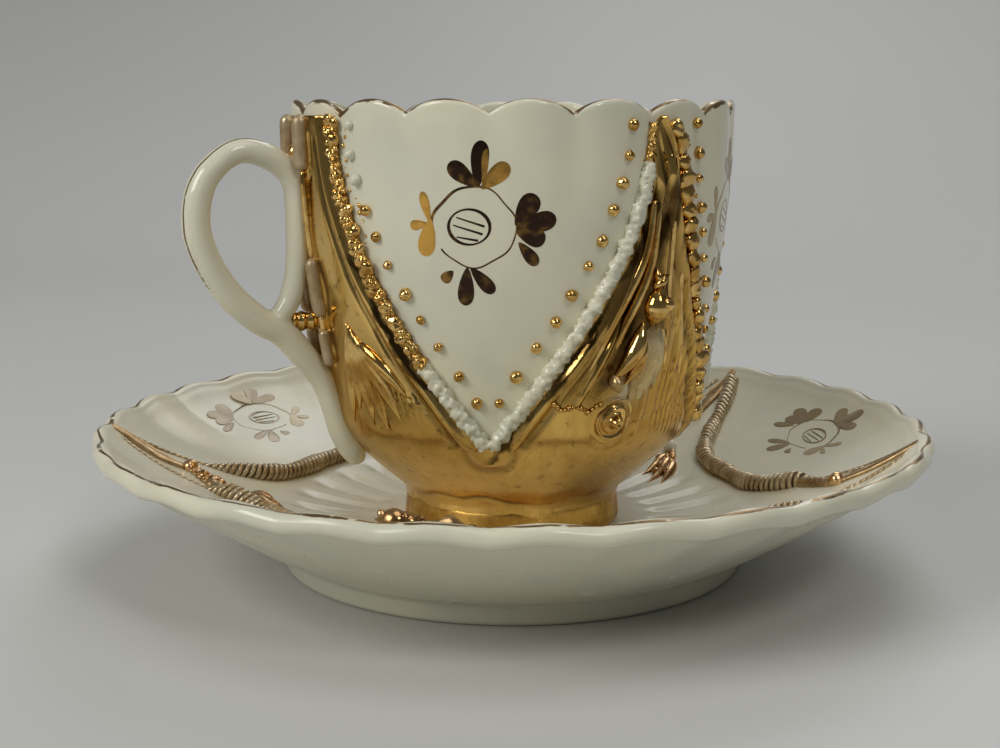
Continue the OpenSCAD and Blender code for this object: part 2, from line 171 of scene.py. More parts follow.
def on_cup(at, h, lift=0.0):
    """Points on the bowl's outside, raised by lift."""
    at, h, lift = np.broadcast_arrays(np.asarray(at, float), np.asarray(h, float), lift)
    lean = cup_lean(h)
    return polar(at, cup_r(h) + cup_flute(at, h) + lift * np.cos(lean), SEAT_H + h - lift * np.sin(lean))


def out_of_cup(at, h):
    """The way out of the bowl's wall."""
    lean = cup_lean(np.asarray(h, float))
    return polar(at, np.cos(lean), -np.sin(lean))


def cup_degrees(mm, h):
    """The angle that a length round the bowl covers."""
    return np.degrees(mm / cup_r(h))


def panel_edge(i, h):
    """Half angle of white panel i."""
    share = np.clip((np.asarray(h, float) - PANEL_LOW_H) / (RIM_H - PANEL_LOW_H), 0, 1)
    return PANEL_HALF * PANEL_WIDE[i] * np.sin(np.pi / 2 * share ** PANEL_POWER)


def panel_side(i, side, h):
    """Angle of a panel's left (-1) or right (1) edge. Some left edges draw away near the rim."""
    away = np.clip((np.asarray(h, float) - RIM_H + PANEL_LEFT_MORE_H) / PANEL_LEFT_MORE_H, 0, 1) ** 2.6
    return PANEL_AT[i] + side * panel_edge(i, h) - (PANEL_LEFT_MORE[i] * away if side < 0 else 0)


def strip_edges(k, h):
    """Angles of the left and right edge of gilt strip k. The strips are the three sepals and then the side
    behind the handle."""
    after = (k + 1) % len(PANELS)
    whole_turn = 360 if after == 0 else 0
    return panel_side(k, 1, h), panel_side(after, -1, h) + whole_turn


def sepal_at(k, h):
    """Angle of the middle of sepal k."""
    left, right = strip_edges(k, h)
    return (left + right) / 2


# The dish's surface

def dish_h(r):
    t = np.maximum(0, np.asarray(r, float) - SEAT_R) / (LIP_MID_R - SEAT_R)
    swept_up = LIP_SWEEP_H * rise(np.asarray(r, float), LIP_SWEEP_FROM_R, LIP_MID_R) ** 2
    return SEAT_H + (SAUCER_TOP - LIP_T / 2 - SEAT_H) * t ** DISH_POWER + swept_up


def under_h(r):
    start = SAUCER_FOOT_R + 1
    t = np.maximum(0, np.asarray(r, float) - start) / (LIP_MID_R - start)
    return SAUCER_FOOT_H + (SAUCER_TOP - 0.85 * LIP_T - SAUCER_FOOT_H) * t ** UNDER_POWER


def dish_flute(at, r):
    groove = ((1 + np.cos(np.radians(LOBES * (at - SAUCER_TURN) + 180))) / 2) ** 2
    window = rise(r, FLUTE_FROM_R, FLUTE_FROM_R + 4) * (1 - rise(r, FLUTE_TO_R - 5, FLUTE_TO_R))
    return -FLUTE_DEPTH * groove * window + dish_unevenness(at, r)


def dish_unevenness(at, r):
    """Slow waves of a hand-pressed plate."""
    a = np.radians(at)
    waves = 0.10 * np.sin(5 * a + 0.09 * r) + 0.07 * np.sin(9 * a - 0.16 * r + 2.0)
    return waves * rise(r, SEAT_R, SEAT_R + 12) * (1 - rise(r, LIP_MID_R - 6, LIP_MID_R - 2))


def tip_at(i):
    """Angle of the saucer's tip i, from 1. After the last comes the first again."""
    return SAUCER_TURN + (i - 1) * SAUCER_PITCH + TIP_SHIFT[(i - 1) % SAUCER_PANELS]


def lip_drop(at):
    """How far the lobed lip falls below its crest: arches, softened by the glaze."""
    arched = lobe_drop(at - SAUCER_TURN, SAUCER_R, LOBES, LOBE_H)
    soft = LOBE_H * (1 - np.cos(np.radians(LOBES * (at - SAUCER_TURN)))) / 2
    return 0.2 * arched + 0.4 * soft


def on_dish(at, r, lift):
    at, r, lift = np.broadcast_arrays(np.asarray(at, float), np.asarray(r, float), lift)
    slope = np.arctan((dish_h(r + 0.1) - dish_h(r - 0.1)) / 0.2)
    return polar(at, r - lift * np.sin(slope), dish_h(r) + dish_flute(at, r) + lift * np.cos(slope))


def out_of_dish(at, r):
    slope = np.arctan((dish_h(np.asarray(r, float) + 0.1) - dish_h(np.asarray(r, float) - 0.1)) / 0.2)
    return polar(at, -np.sin(slope), np.cos(slope))


# Skins: points and faces

def skin(rows, cols, loop=False):
    """Faces of rings of points, ring after ring. A loop joins the last ring to the first."""
    r = np.arange(rows if loop else rows - 1)[:, None]
    c = np.arange(cols)[None, :]
    here, there, n = r * cols, (r + 1) % rows * cols, (c + 1) % cols
    return np.stack([here + c, here + n, there + n, there + c], -1).reshape(-1, 4).tolist()


def turned(rings):
    """A closed skin through rings of points, with a fan over each end."""
    rings = np.asarray(rings)
    rows, cols = rings.shape[:2]
    points = np.vstack([rings.reshape(-1, 3), rings[0].mean(0), rings[-1].mean(0)])
    first = rows * cols
    last_row = (rows - 1) * cols
    faces = skin(rows, cols)
    for c in range(cols):
        n = (c + 1) % cols
        faces.append([n, c, first])
        faces.append([last_row + c, last_row + n, first + 1])
    return points, faces


def swept(path, ups, half_widths, half_heights, sides):
    """A closed skin round a path: an oval across it at each point, with ups out of the clay."""
    path = np.asarray(path, float)
    along = unit(np.gradient(path, axis=0))
    side = unit(np.cross(ups, along))
    up = np.cross(along, side)
    a = 2 * np.pi * np.arange(sides) / sides
    wide = np.broadcast_to(half_widths, len(path))[:, None, None] * np.cos(a)[None, :, None] * side[:, None]
    high = np.broadcast_to(half_heights, len(path))[:, None, None] * np.sin(a)[None, :, None] * up[:, None]
    return turned(path[:, None] + wide + high)


def joined(skins):
    """Several skins as one."""
    points, faces, count = [], [], 0
    for p, f in skins:
        points.append(p)
        faces += [[i + count for i in face] for face in f]
        count += len(p)
    return np.vstack(points), faces


def patch(outline, place, height, rings):
    """A low relief inside a closed outline: place puts flat points with a lift on the clay.
    height gives the lift from the share of the way in from the outline."""
    sunk = 0.25
    outline = np.asarray(outline, float)
    middle = outline.mean(0)
    levels = [(outline, -sunk)]
    for i in range(rings + 1):
        share = (i + 0.02) / (rings + 1)
        flat = middle + (outline - middle) * (1 - share)
        levels.append((flat, height(share)))
    return turned([place(flat, lift) for flat, lift in levels])


# Pieces

def seat(piece, body, slot, nodes):
    """Fixes a piece to its body and hides the solids that it stands for. Its finish's slot is not used."""
    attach(piece, body)
    if nodes:
        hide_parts(*nodes)


def new_mesh(name, points, faces, finish=None, turn_out=False, **marks):
    mesh = bpy.data.meshes.new(name)
    mesh.from_pydata((np.asarray(points) * MM).tolist(), [], faces)
    for mark, values in marks.items():
        layer = mesh.attributes.new(mark, "FLOAT", "POINT")
        layer.data.foreach_set("value", np.asarray(values, np.float32).ravel())
    if turn_out:
        work = bmesh.new()
        work.from_mesh(mesh)
        bmesh.ops.recalc_face_normals(work, faces=work.faces)
        work.to_mesh(mesh)
        work.free()
    mesh.shade_smooth()
    if finish:
        mesh.materials.append(finish)
    return mesh


def new_piece(name, mesh, body, slot, nodes=()):
    piece = bpy.data.objects.new(name, mesh)
    bpy.context.scene.collection.objects.link(piece)
    seat(piece, body, slot, nodes)


def carved(name, skin_, finish, body, slot, node=None):
    """A piece of relief from a skin. Where it stands for a solid, node names that."""
    mesh = new_mesh(node or name, *skin_, finish)
    new_piece(name, mesh, body, slot, [node] if node else ())


# Finishes

class Wiring:
    """Short ways to add and join the nodes of one tree."""

    def __init__(self, tree):
        self.tree = tree

    def add(self, kind, inputs=None, **settings):
        node = self.tree.nodes.new(kind)
        for key, value in settings.items():
            setattr(node, key, value)
        for key, value in (inputs or {}).items():
            self.set(node.inputs[key], value)
        return node

    def set(self, socket, value):
        if isinstance(value, bpy.types.NodeSocket):
            self.tree.links.new(value, socket)
        else:
            socket.default_value = value

    def math(self, operation, a, b=0.0):
        return self.add("ShaderNodeMath", {0: a, 1: b}, operation=operation).outputs[0]

    def vector_math(self, operation, a, b=(0, 0, 0)):
        return self.add("ShaderNodeVectorMath", {0: a, 1: b}, operation=operation).outputs[0]

    def scaled(self, vector, amount):
        return self.add("ShaderNodeVectorMath", {0: vector, "Scale": amount}, operation="SCALE").outputs[0]

    def between(self, value, low, high, start=0.0, end=1.0):
        ins = {"Value": value, "From Min": low, "From Max": high, "To Min": start, "To Max": end}
        return self.add("ShaderNodeMapRange", ins, interpolation_type="SMOOTHSTEP").outputs[0]

    def mix(self, share, a, b):
        return self.add("ShaderNodeMix", {0: share, 2: a, 3: b}, data_type="FLOAT").outputs[0]

    def mix_colour(self, share, a, b):
        return self.add("ShaderNodeMix", {0: share, 6: a, 7: b}, data_type="RGBA").outputs[2]

    def noise(self, scale, detail, roughness=0.5, vector=None):
        ins = {"Scale": scale, "Detail": detail, "Roughness": roughness}
        if vector is not None:
            ins["Vector"] = vector
        return self.add("ShaderNodeTexNoise", ins).outputs[0]

    def mark(self, name):
        return self.add("ShaderNodeAttribute", attribute_name=name).outputs["Fac"]


def rgb(r, g, b):
    return (r, g, b, 1.0)


def new_finish(name):
    """A material, its wiring, its shader and the piece's own coordinates."""
    material = bpy.data.materials.new(name)
    material.use_nodes = True
    wiring = Wiring(material.node_tree)
    shader = material.node_tree.nodes["Principled BSDF"]
    place = wiring.add("ShaderNodeTexCoord").outputs["Object"]
    return material, wiring, shader, place


def stretched(wiring, place, scale):
    return wiring.add("ShaderNodeMapping", {"Vector": place, "Scale": scale}).outputs[0]


GLAZE_WARM = rgb(0.79, 0.755, 0.575)
GLAZE_COOL = rgb(0.705, 0.70, 0.56)
SPECK = rgb(0.10, 0.08, 0.06)
GOLD_BRIGHT = rgb(0.82, 0.55, 0.18)
GOLD_DEEP = rgb(0.56, 0.33, 0.085)
GOLD_SHADE = rgb(0.060, 0.030, 0.010)
GOLD_WORN = rgb(0.66, 0.62, 0.50)
LINE_GOLD = rgb(0.25, 0.165, 0.075)
# Painted shade for the crevices between a rope's strands
CREVICE_SHADE = rgb(0.075, 0.045, 0.018)


def glaze_colour(w, place):
    """Cream glaze with cooler clouds and a few dark specks."""
    clouds = w.between(w.noise(55.0, 3.0, vector=place), 0.35, 0.68)
    glaze = w.mix_colour(clouds, GLAZE_WARM, GLAZE_COOL)
    cells = w.add("ShaderNodeTexVoronoi", {"Vector": place, "Scale": 210.0})
    chosen = w.between(cells.outputs["Color"], 0.93, 0.94)
    dot = w.between(cells.outputs["Distance"], 0.03, 0.07, 1.0, 0.0)
    return w.mix_colour(w.math("MULTIPLY", w.math("MULTIPLY", chosen, dot), 0.8), glaze, SPECK)


def glaze_gloss(w, place, low=0.07, high=0.17):
    return w.between(w.noise(90.0, 4.0, vector=place), 0.3, 0.7, low, high)


def glaze_bump(w, place, shader, height=0.00006):
    waves = w.noise(140.0, 3.0, 0.55, vector=place)
    normal = w.add("ShaderNodeBump", {"Strength": 0.35, "Distance": height, "Height": waves}).outputs[0]
    w.set(shader.inputs["Normal"], normal)


def porcelain(name, line=None, half_line=0.4, gloss_low=0.07, gloss_high=0.17):
    """Glazed porcelain. line names a mark that holds the distance from a painted gold line."""
    material, w, shader, place = new_finish(name)
    colour, gloss = glaze_colour(w, place), glaze_gloss(w, place, gloss_low, gloss_high)
    if line:
        wander = w.between(w.noise(260.0, 3.0, vector=place), 0.25, 0.75, -0.45, 0.45)
        width = w.between(w.noise(45.0, 2.0, vector=place), 0.35, 0.65, half_line * 0.55, half_line * 1.35)
        off = w.math("ABSOLUTE", w.math("ADD", w.mark(line), w.math("MULTIPLY", wander, half_line)))
        painted = w.between(w.math("SUBTRACT", off, width), -0.08, 0.08, 1.0, 0.0)
        worn = w.between(w.noise(420.0, 3.0, vector=place), 0.30, 0.42)
        share = w.math("MULTIPLY", painted, worn)
        colour = w.mix_colour(share, colour, LINE_GOLD)
        gloss = w.mix(share, gloss, 0.3)
        w.set(shader.inputs["Metallic"], w.math("MULTIPLY", share, 0.75))
    w.set(shader.inputs["Base Color"], colour)
    w.set(shader.inputs["Roughness"], gloss)
    glaze_bump(w, place, shader)
    return material


def gold_colour(w, place):
    """Burnished gold with brushed streaks and darker lustre."""
    clouds = w.between(w.noise(38.0, 3.0, vector=place), 0.33, 0.66)
    streaks = w.noise(1.0, 4.0, 0.6, vector=stretched(w, place, (420.0, 420.0, 60.0)))
    tone = w.mix_colour(w.math("MULTIPLY", clouds, 0.85), GOLD_BRIGHT, GOLD_DEEP)
    grains = w.between(w.noise(650.0, 4.0, 0.65, vector=place), 0.56, 0.72, 0.0, 0.5)
    tone = w.mix_colour(grains, tone, GOLD_SHADE)
    return w.mix_colour(w.between(streaks, 0.5, 0.75, 0.0, 0.5), tone, GOLD_DEEP)


def gilding():
    """The calyx's gold. Marks: shade is 1 in its deepest creases, edge is the distance from a panel's edge,
    and worn is 1 where the gold has been rubbed off."""
    material, w, shader, place = new_finish("burnished_gold")
    patchy = w.between(w.noise(300.0, 3.0, vector=place), 0.25, 0.7, 0.75, 1.0)
    crease = w.math("MULTIPLY", w.mark("shade"), patchy)
    colour = w.mix_colour(crease, gold_colour(w, place), GOLD_SHADE)
    wander = w.between(w.noise(230.0, 3.0, vector=place), 0.3, 0.7, -0.6, 0.6)
    off = w.math("ABSOLUTE", w.math("SUBTRACT", w.math("ADD", w.mark("edge"), wander), 1.5))
    broken = w.between(w.noise(95.0, 2.0, vector=place), 0.40, 0.56, 0.12, 0.9)
    band = w.math("MULTIPLY", w.between(off, 0.25, 0.75, 1.0, 0.0), broken)
    colour = w.mix_colour(band, colour, GOLD_SHADE)
    rubbed = w.math("MULTIPLY", w.mark("worn"), w.between(w.noise(420.0, 4.0, vector=place), 0.3, 0.62))
    colour = w.mix_colour(rubbed, colour, GOLD_WORN)
    w.set(shader.inputs["Base Color"], colour)
    w.set(shader.inputs["Metallic"], w.between(rubbed, 0.0, 1.0, 1.0, 0.1))
    up = w.add("ShaderNodeSeparateXYZ", {0: place}).outputs["Z"]
    polish = w.between(up, 0.024, 0.036, 0.15, 0.0)
    gloss = w.between(w.noise(120.0, 4.0, vector=place), 0.3, 0.7, 0.05, 0.15)
    w.set(shader.inputs["Roughness"], w.math("ADD", gloss, polish))
    grain = w.noise(1.0, 3.0, 0.6, vector=stretched(w, place, (900.0, 900.0, 140.0)))
    bump = w.add("ShaderNodeBump", {"Strength": 0.35, "Distance": 0.0001, "Height": grain}).outputs[0]
    w.set(shader.inputs["Normal"], bump)
    return material


def relief_gold(name, bright, deep, metal, gloss_low, gloss_high):
    """Gold on small relief: bright where it was rubbed, deeper in patches."""
    material, w, shader, place = new_finish(name)
    patches = w.between(w.noise(240.0, 4.0, 0.6, vector=place), 0.35, 0.65)
    w.set(shader.inputs["Base Color"], w.mix_colour(patches, bright, deep))
    shader.inputs["Metallic"].default_value = metal
    gloss = w.between(w.noise(500.0, 3.0, vector=place), 0.3, 0.7, gloss_low, gloss_high)
    w.set(shader.inputs["Roughness"], gloss)
    grain = w.noise(1100.0, 3.0, vector=place)
    bump = w.add("ShaderNodeBump", {"Strength": 0.3, "Distance": 0.0001, "Height": grain}).outputs[0]
    w.set(shader.inputs["Normal"], bump)
    return material


def part_gilt(name, gold_a, gold_b, metal, crevice_shade=0.0):
    """Clay cord that is gilt where its mark gilt says so, and bare glaze elsewhere. Its mark crest is low in
    the crevices between the strands, which painted shade darkens."""
    material, w, shader, place = new_finish(name)
    ragged = w.between(w.noise(330.0, 3.0, vector=place), 0.3, 0.7, -0.3, 0.3)
    share = w.between(w.math("ADD", w.mark("gilt"), ragged), 0.4, 0.6)
    patches = w.between(w.noise(280.0, 4.0, 0.6, vector=place), 0.35, 0.65)
    gold = w.mix_colour(patches, gold_a, gold_b)
    # Painted shade: the gold is darkened in the crevices between the strands
    if crevice_shade:
        gold = w.mix_colour(w.between(w.mark("crest"), 0.78, 0.98, crevice_shade, 0.0), gold, CREVICE_SHADE)
    w.set(shader.inputs["Base Color"], w.mix_colour(share, glaze_colour(w, place), gold))
    w.set(shader.inputs["Metallic"], w.math("MULTIPLY", share, metal))
    gilt_gloss = w.between(patches, 0.0, 1.0, 0.16, 0.3)
    w.set(shader.inputs["Roughness"], w.mix(share, glaze_gloss(w, place), gilt_gloss))
    glaze_bump(w, place, shader, 0.00012)
    return material


def lustre(name, dark, light, metal):
    """Painted lustre, from dark to light by its mark tone, thin and streaky from the brush."""
    material, w, shader, place = new_finish(name)
    streaks = w.between(w.noise(700.0, 3.0, vector=place), 0.3, 0.75, -0.18, 0.22)
    tone = w.between(w.math("ADD", w.mark("tone"), streaks), 0.0, 1.0)
    w.set(shader.inputs["Base Color"], w.mix_colour(tone, dark, light))
    shader.inputs["Metallic"].default_value = metal
    w.set(shader.inputs["Roughness"], w.between(w.noise(300.0, 3.0, vector=place), 0.3, 0.7, 0.14, 0.3))
    return material


bowl_glaze = porcelain("glazed_porcelain_rim", "rim", 0.5)
plate_glaze = porcelain("glazed_porcelain_lip", "lip", 0.27, 0.16, 0.28)
handle_glaze = porcelain("glazed_porcelain_handle", "spine", 0.3)
foot_glaze = porcelain("glazed_porcelain_foot")
calyx_gold = gilding()
bright_gold = relief_gold("bright_gold", rgb(0.86, 0.59, 0.22), rgb(0.50, 0.28, 0.07), 1.0, 0.04, 0.14)
foot_gold = relief_gold("foot_gold", rgb(0.74, 0.46, 0.12), rgb(0.52, 0.28, 0.06), 1.0, 0.24, 0.42)
worn_gold = relief_gold("worn_gold", rgb(0.64, 0.52, 0.30), rgb(0.48, 0.32, 0.12), 0.55, 0.12, 0.28)
matt_gold = relief_gold("matt_gold", rgb(0.52, 0.41, 0.26), rgb(0.36, 0.25, 0.12), 0.5, 0.28, 0.45)
cord_clay = part_gilt("gilt_and_white_cord", rgb(0.80, 0.52, 0.16), rgb(0.36, 0.18, 0.04), 1.0)
saucer_rope = part_gilt("pale_gilt_rope", rgb(0.64, 0.53, 0.35), rgb(0.42, 0.30, 0.15), 0.4, 0.85)
pale_ribbon = relief_gold("brown_gold_ribbon", rgb(0.50, 0.36, 0.19), rgb(0.33, 0.21, 0.09), 0.7, 0.24, 0.42)
rose_gold = relief_gold("rose_gold", rgb(0.72, 0.47, 0.24), rgb(0.38, 0.21, 0.08), 0.95, 0.14, 0.3)
flower_lustre = lustre("flower_lustre", rgb(0.035, 0.017, 0.010), rgb(0.66, 0.37, 0.075), 0.8)
pale_lustre = lustre("pale_flower_lustre", rgb(0.31, 0.235, 0.125), rgb(0.45, 0.36, 0.205), 0.15)


# Growths: what repeats or follows a path

def new_tree(name, sockets):
    """A geometry tree with a geometry in and out, and named inputs for its sizes."""
    tree = bpy.data.node_groups.new(name, "GeometryNodeTree")
    tree.interface.new_socket("Geometry", in_out="INPUT", socket_type="NodeSocketGeometry")
    for socket, kind in sockets.items():
        tree.interface.new_socket(socket, in_out="INPUT", socket_type="NodeSocket" + kind)
    tree.interface.new_socket("Geometry", in_out="OUTPUT", socket_type="NodeSocketGeometry")
    wiring = Wiring(tree)
    source = wiring.add("NodeGroupInput").outputs
    return tree, wiring, source


def end_tree(w, geometry, finish):
    """Smooth shading, realized instances, the finish and the way out."""
    smooth = w.add("GeometryNodeSetShadeSmooth", {"Geometry": geometry}).outputs[0]
    real = w.add("GeometryNodeRealizeInstances", {"Geometry": smooth}).outputs[0]
    done = w.add("GeometryNodeSetMaterial", {"Geometry": real, "Material": finish}).outputs[0]
    w.add("NodeGroupOutput", {"Geometry": done})


def named(w, name, kind="FLOAT"):
    return w.add("GeometryNodeInputNamedAttribute", {"Name": name}, data_type=kind).outputs["Attribute"]


def noisy_skin(w, geometry, height, scale):
    """Pushes a skin in and out by a noise."""
    lumps = w.math("SUBTRACT", w.noise(scale, 2.0), 0.5)
    normal = w.add("GeometryNodeInputNormal").outputs[0]
    push = w.scaled(normal, w.math("MULTIPLY", lumps, height))
    return w.add("GeometryNodeSetPosition", {"Geometry": geometry, "Offset": push}).outputs[0]


def twisted_cord_tree():
    """Strands that wind round a path, over a core. Marks on the path: up, thick (the cord's radius),
    turn (0 for a plain cord, 1 for a wound one) and lump (how uneven its skin is). The result has the mark
    crest, the distance from the path as a share of the cord's radius."""
    tree, w, source = new_tree("twisted_cord", {
        "Strands": "Int", "Sides": "Int", "Step": "Float", "Pitch": "Float", "Spread": "Float",
        "Strand share": "Float", "Core share": "Float", "Lump height": "Float", "Lump scale": "Float",
        "Finish": "Material"})
    path = w.add("GeometryNodeMeshToCurve", {"Mesh": source["Geometry"]}).outputs[0]
    even = w.add("GeometryNodeResampleCurve", {
        "Curve": path, "Length": source["Step"]}, mode="LENGTH").outputs[0]
    ring = w.add("GeometryNodeCurvePrimitiveCircle", {
        "Resolution": source["Sides"], "Radius": 1.0}).outputs[0]
    up, thick, turn = named(w, "up", "FLOAT_VECTOR"), named(w, "thick"), named(w, "turn")

    copies = w.add("GeometryNodeDuplicateElements", {
        "Geometry": even, "Amount": source["Strands"]}, domain="SPLINE")
    length = w.add("GeometryNodeSplineParameter").outputs["Length"]
    turns = w.math("ADD", w.math("DIVIDE", length, source["Pitch"]),
                   w.math("DIVIDE", copies.outputs["Duplicate Index"], source["Strands"]))
    angle = w.math("MULTIPLY", turns, 2 * math.pi)
    tangent = w.add("GeometryNodeInputTangent").outputs[0]
    side = w.vector_math("NORMALIZE", w.vector_math("CROSS_PRODUCT", up, tangent))
    wind = w.vector_math("ADD", w.scaled(up, w.math("COSINE", angle)), w.scaled(side, w.math("SINE", angle)))
    reach = w.math("MULTIPLY", w.math("MULTIPLY", thick, turn), source["Spread"])
    wound = w.add("GeometryNodeSetPosition", {
        "Geometry": copies.outputs[0], "Offset": w.scaled(wind, reach)}).outputs[0]
    full = w.math("SUBTRACT", 1.0, w.math("MULTIPLY", turn, w.math("SUBTRACT", 1.0, source["Strand share"])))
    strands = w.add("GeometryNodeCurveToMesh", {
        "Curve": wound, "Profile Curve": ring, "Scale": w.math("MULTIPLY", thick, full),
        "Fill Caps": True}).outputs[0]
    core = w.add("GeometryNodeCurveToMesh", {
        "Curve": even, "Profile Curve": ring, "Scale": w.math("MULTIPLY", thick, source["Core share"]),
        "Fill Caps": True}).outputs[0]
    both = w.add("GeometryNodeJoinGeometry")
    w.tree.links.new(strands, both.inputs[0])
    w.tree.links.new(core, both.inputs[0])
    line = w.add("GeometryNodeCurveToMesh", {"Curve": even}).outputs[0]
    away = w.add("GeometryNodeProximity", {0: line}, target_element="EDGES").outputs["Distance"]
    marked = w.add("GeometryNodeStoreNamedAttribute", {
        "Geometry": both.outputs[0], "Name": "crest", "Value": w.math("DIVIDE", away, thick)},
        data_type="FLOAT", domain="POINT").outputs[0]
    lump_height = w.math("MULTIPLY", source["Lump height"], named(w, "lump"))
    end_tree(w, noisy_skin(w, marked, lump_height, source["Lump scale"]), source["Finish"])
    return tree


def bead_tree():
    """A bead or a lump on each point. Marks: up (out of the clay) and thick (the bead's radius)."""
    tree, w, source = new_tree("beads", {
        "Segments": "Int", "Rings": "Int", "Flatness": "Float", "Unevenness": "Float",
        "Lump height": "Float", "Lump scale": "Float", "Finish": "Material"})
    ball = w.add("GeometryNodeMeshUVSphere", {
        "Segments": source["Segments"], "Rings": source["Rings"], "Radius": 1.0}).outputs[0]
    up = named(w, "up", "FLOAT_VECTOR")
    turn = w.add("FunctionNodeAlignRotationToVector", {"Vector": up}, axis="Z").outputs[0]
    chance = w.add("FunctionNodeRandomValue", {"Seed": 7}, data_type="FLOAT").outputs[1]
    uneven = w.math("MULTIPLY", w.math("SUBTRACT", chance, 0.5), source["Unevenness"])
    size = w.math("MULTIPLY", named(w, "thick"), w.math("ADD", 1.0, uneven))
    flat = w.math("MULTIPLY", size, source["Flatness"])
    scale = w.add("ShaderNodeCombineXYZ", {0: size, 1: size, 2: flat}).outputs[0]
    beads_ = w.add("GeometryNodeInstanceOnPoints", {
        "Points": source["Geometry"], "Instance": ball, "Rotation": turn, "Scale": scale}).outputs[0]
    real = w.add("GeometryNodeRealizeInstances", {"Geometry": beads_}).outputs[0]
    end_tree(w, noisy_skin(w, real, source["Lump height"], source["Lump scale"]), source["Finish"])
    return tree


def path_mesh(name, routes):
    """Paths as edges. A route is a dict: points, ups, thick and, for cords, turn, lump and gilt."""
    points = np.vstack([r["points"] for r in routes]) * MM
    edges, count = [], 0
    for r in routes:
        n = len(r["points"])
        edges += [(count + i, count + i + 1) for i in range(n - 1)]
        count += n
    mesh = bpy.data.meshes.new(name)
    mesh.from_pydata(points.tolist(), edges, [])
    up = mesh.attributes.new("up", "FLOAT_VECTOR", "POINT")
    up.data.foreach_set("vector", np.vstack([r["ups"] for r in routes]).astype(np.float32).ravel())
    for mark in ("thick", "turn", "lump", "gilt"):
        values = [np.broadcast_to(r.get(mark, 1.0), len(r["points"])) for r in routes]
        scale = MM if mark == "thick" else 1.0
        layer = mesh.attributes.new(mark, "FLOAT", "POINT")
        layer.data.foreach_set("value", (np.concatenate(values) * scale).astype(np.float32))
    return mesh


def grown(name, tree, source, sizes, body, slot, nodes=()):
    """Runs a tree on a source mesh and keeps the result as a plain mesh."""
    host = bpy.data.objects.new(name, source)
    bpy.context.scene.collection.objects.link(host)
    growth = host.modifiers.new("growth", "NODES")
    growth.node_group = tree
    for item in tree.interface.items_tree:
        if item.in_out == "INPUT" and item.name in sizes:
            growth[item.identifier] = sizes[item.name]
    graph = bpy.context.evaluated_depsgraph_get()
    made = bpy.data.meshes.new_from_object(
        host.evaluated_get(graph), preserve_all_data_layers=True, depsgraph=graph)
    host.modifiers.remove(growth)
    host.data = made
    seat(host, body, slot, nodes)


twisted_cord = twisted_cord_tree()
beads = bead_tree()


# The saucer

def saucer_plate():
    """The plate: underside, rolled lobed lip, fluted dish and flat seat. The mark lip is the distance
    from the line that is painted along the crest of the lip."""
    cols = 600
    at = np.arange(cols) * 360 / cols
    drop = lip_drop(at)
    line_r = LIP_MID_R + 0.55 - 0.7 * np.abs(np.sin(np.radians(LOBES * (at - SAUCER_TURN) / 2))) ** 3
    rows, marks = [], []

    def ring(r, z, lip=FAR_OFF):
        sway = rise(np.asarray(r, float), 54, LIP_MID_R)
        rows.append(polar(at, r - 0.3 * drop * sway, z - drop * sway))
        marks.append(np.broadcast_to(lip, cols))

    for r in (6.0, 20.0, 34.0, SAUCER_FOOT_R - SAUCER_FOOT_W + 0.6, SAUCER_FOOT_R + 0.6):
        ring(r, SAUCER_FOOT_H)
    for r in np.linspace(SAUCER_FOOT_R + 1, LIP_MID_R - 0.5, 34):
        ring(r, under_h(r))
    for a in np.radians(np.linspace(-95, 140, 34)):
        r = LIP_MID_R + LIP_T / 2 * math.cos(a)
        ring(r, SAUCER_TOP - LIP_T / 2 + LIP_T / 2 * math.sin(a), np.where(a > 0.6, line_r - r, -FAR_OFF))
    lip_inner_r = LIP_MID_R - LIP_T * 0.5
    for r in np.concatenate([np.linspace(lip_inner_r, 60, 22), np.linspace(59.5, FLUTE_FROM_R - 1, 66)]):
        lip = LIP_T * 0.19 * ridge(r, lip_inner_r, 1.6)
        ring(r, dish_h(r) + dish_flute(at, r) + lip, line_r - r)
    for r in (17.0, 9.0):
        ring(r, SEAT_H)
    marks = np.concatenate(marks + [np.full(2, FAR_OFF)])
    mesh = new_mesh("saucer_plate", *turned(rows), plate_glaze, lip=marks)
    new_piece("porcelain_saucer", mesh, "saucer", "porcelain", ["saucer_plate"])


def foot_ring(profile):
    """A turned ring through profile points, inner side first, as a closed skin."""
    cols = 240
    at = np.arange(cols) * 360 / cols
    rings = [polar(at, r, z) for r, z in profile]
    return np.vstack(rings), skin(len(rings), cols, loop=True)


def saucer_foot():
    inner, outer, top = SAUCER_FOOT_R - SAUCER_FOOT_W, SAUCER_FOOT_R, SAUCER_FOOT_H + 0.4
    skin_ = foot_ring([
        (inner, top), (inner, 1.0), (inner + 0.2, 0.3), (inner + 0.7, 0.0), (outer - 0.8, 0.0),
        (outer - 0.25, 0.25), (outer, 0.9), (outer, 2.6), (outer + 0.25, 3.4), (outer + 1.0, top)])
    mesh = new_mesh("saucer_foot_ring", *skin_, foot_glaze, turn_out=True)
    new_piece("porcelain_saucer_foot", mesh, "saucer", "porcelain", ["saucer_foot_ring"])


# A saucer cord from its middle to a tip: share of the panel's angle and radius, as the corners of a curve
CORD_ROUTE = np.array([[0, 42.0], [0.37, 41.0], [0.37, 52.0], [0.475, LIP_MID_R - 3.2]])


def saucer_cord_route(i):
    """Places along cord i, from tip to tip round the panel's inner end: share, angle and radius."""
    s = np.linspace(-1, 1, 221)
    t = np.abs(s)[:, None]
    a, b, c, d = CORD_ROUTE
    p = a * (1 - t) ** 3 + 3 * b * t * (1 - t) ** 2 + 3 * c * t ** 2 * (1 - t) + d * t ** 3
    span = tip_at(i + 1) - tip_at(i)
    return s, (tip_at(i) + tip_at(i + 1)) / 2 + np.sign(s) * span * p[:, 0], p[:, 1]


ROPE_R = 1.62
# How far each rope thins towards its first and its second tip
ROPE_THINS = [(1.0, 1.0), (1.0, 1.0), (1.0, 1.0), (1.0, 1.0), (1.0, 0.12)]


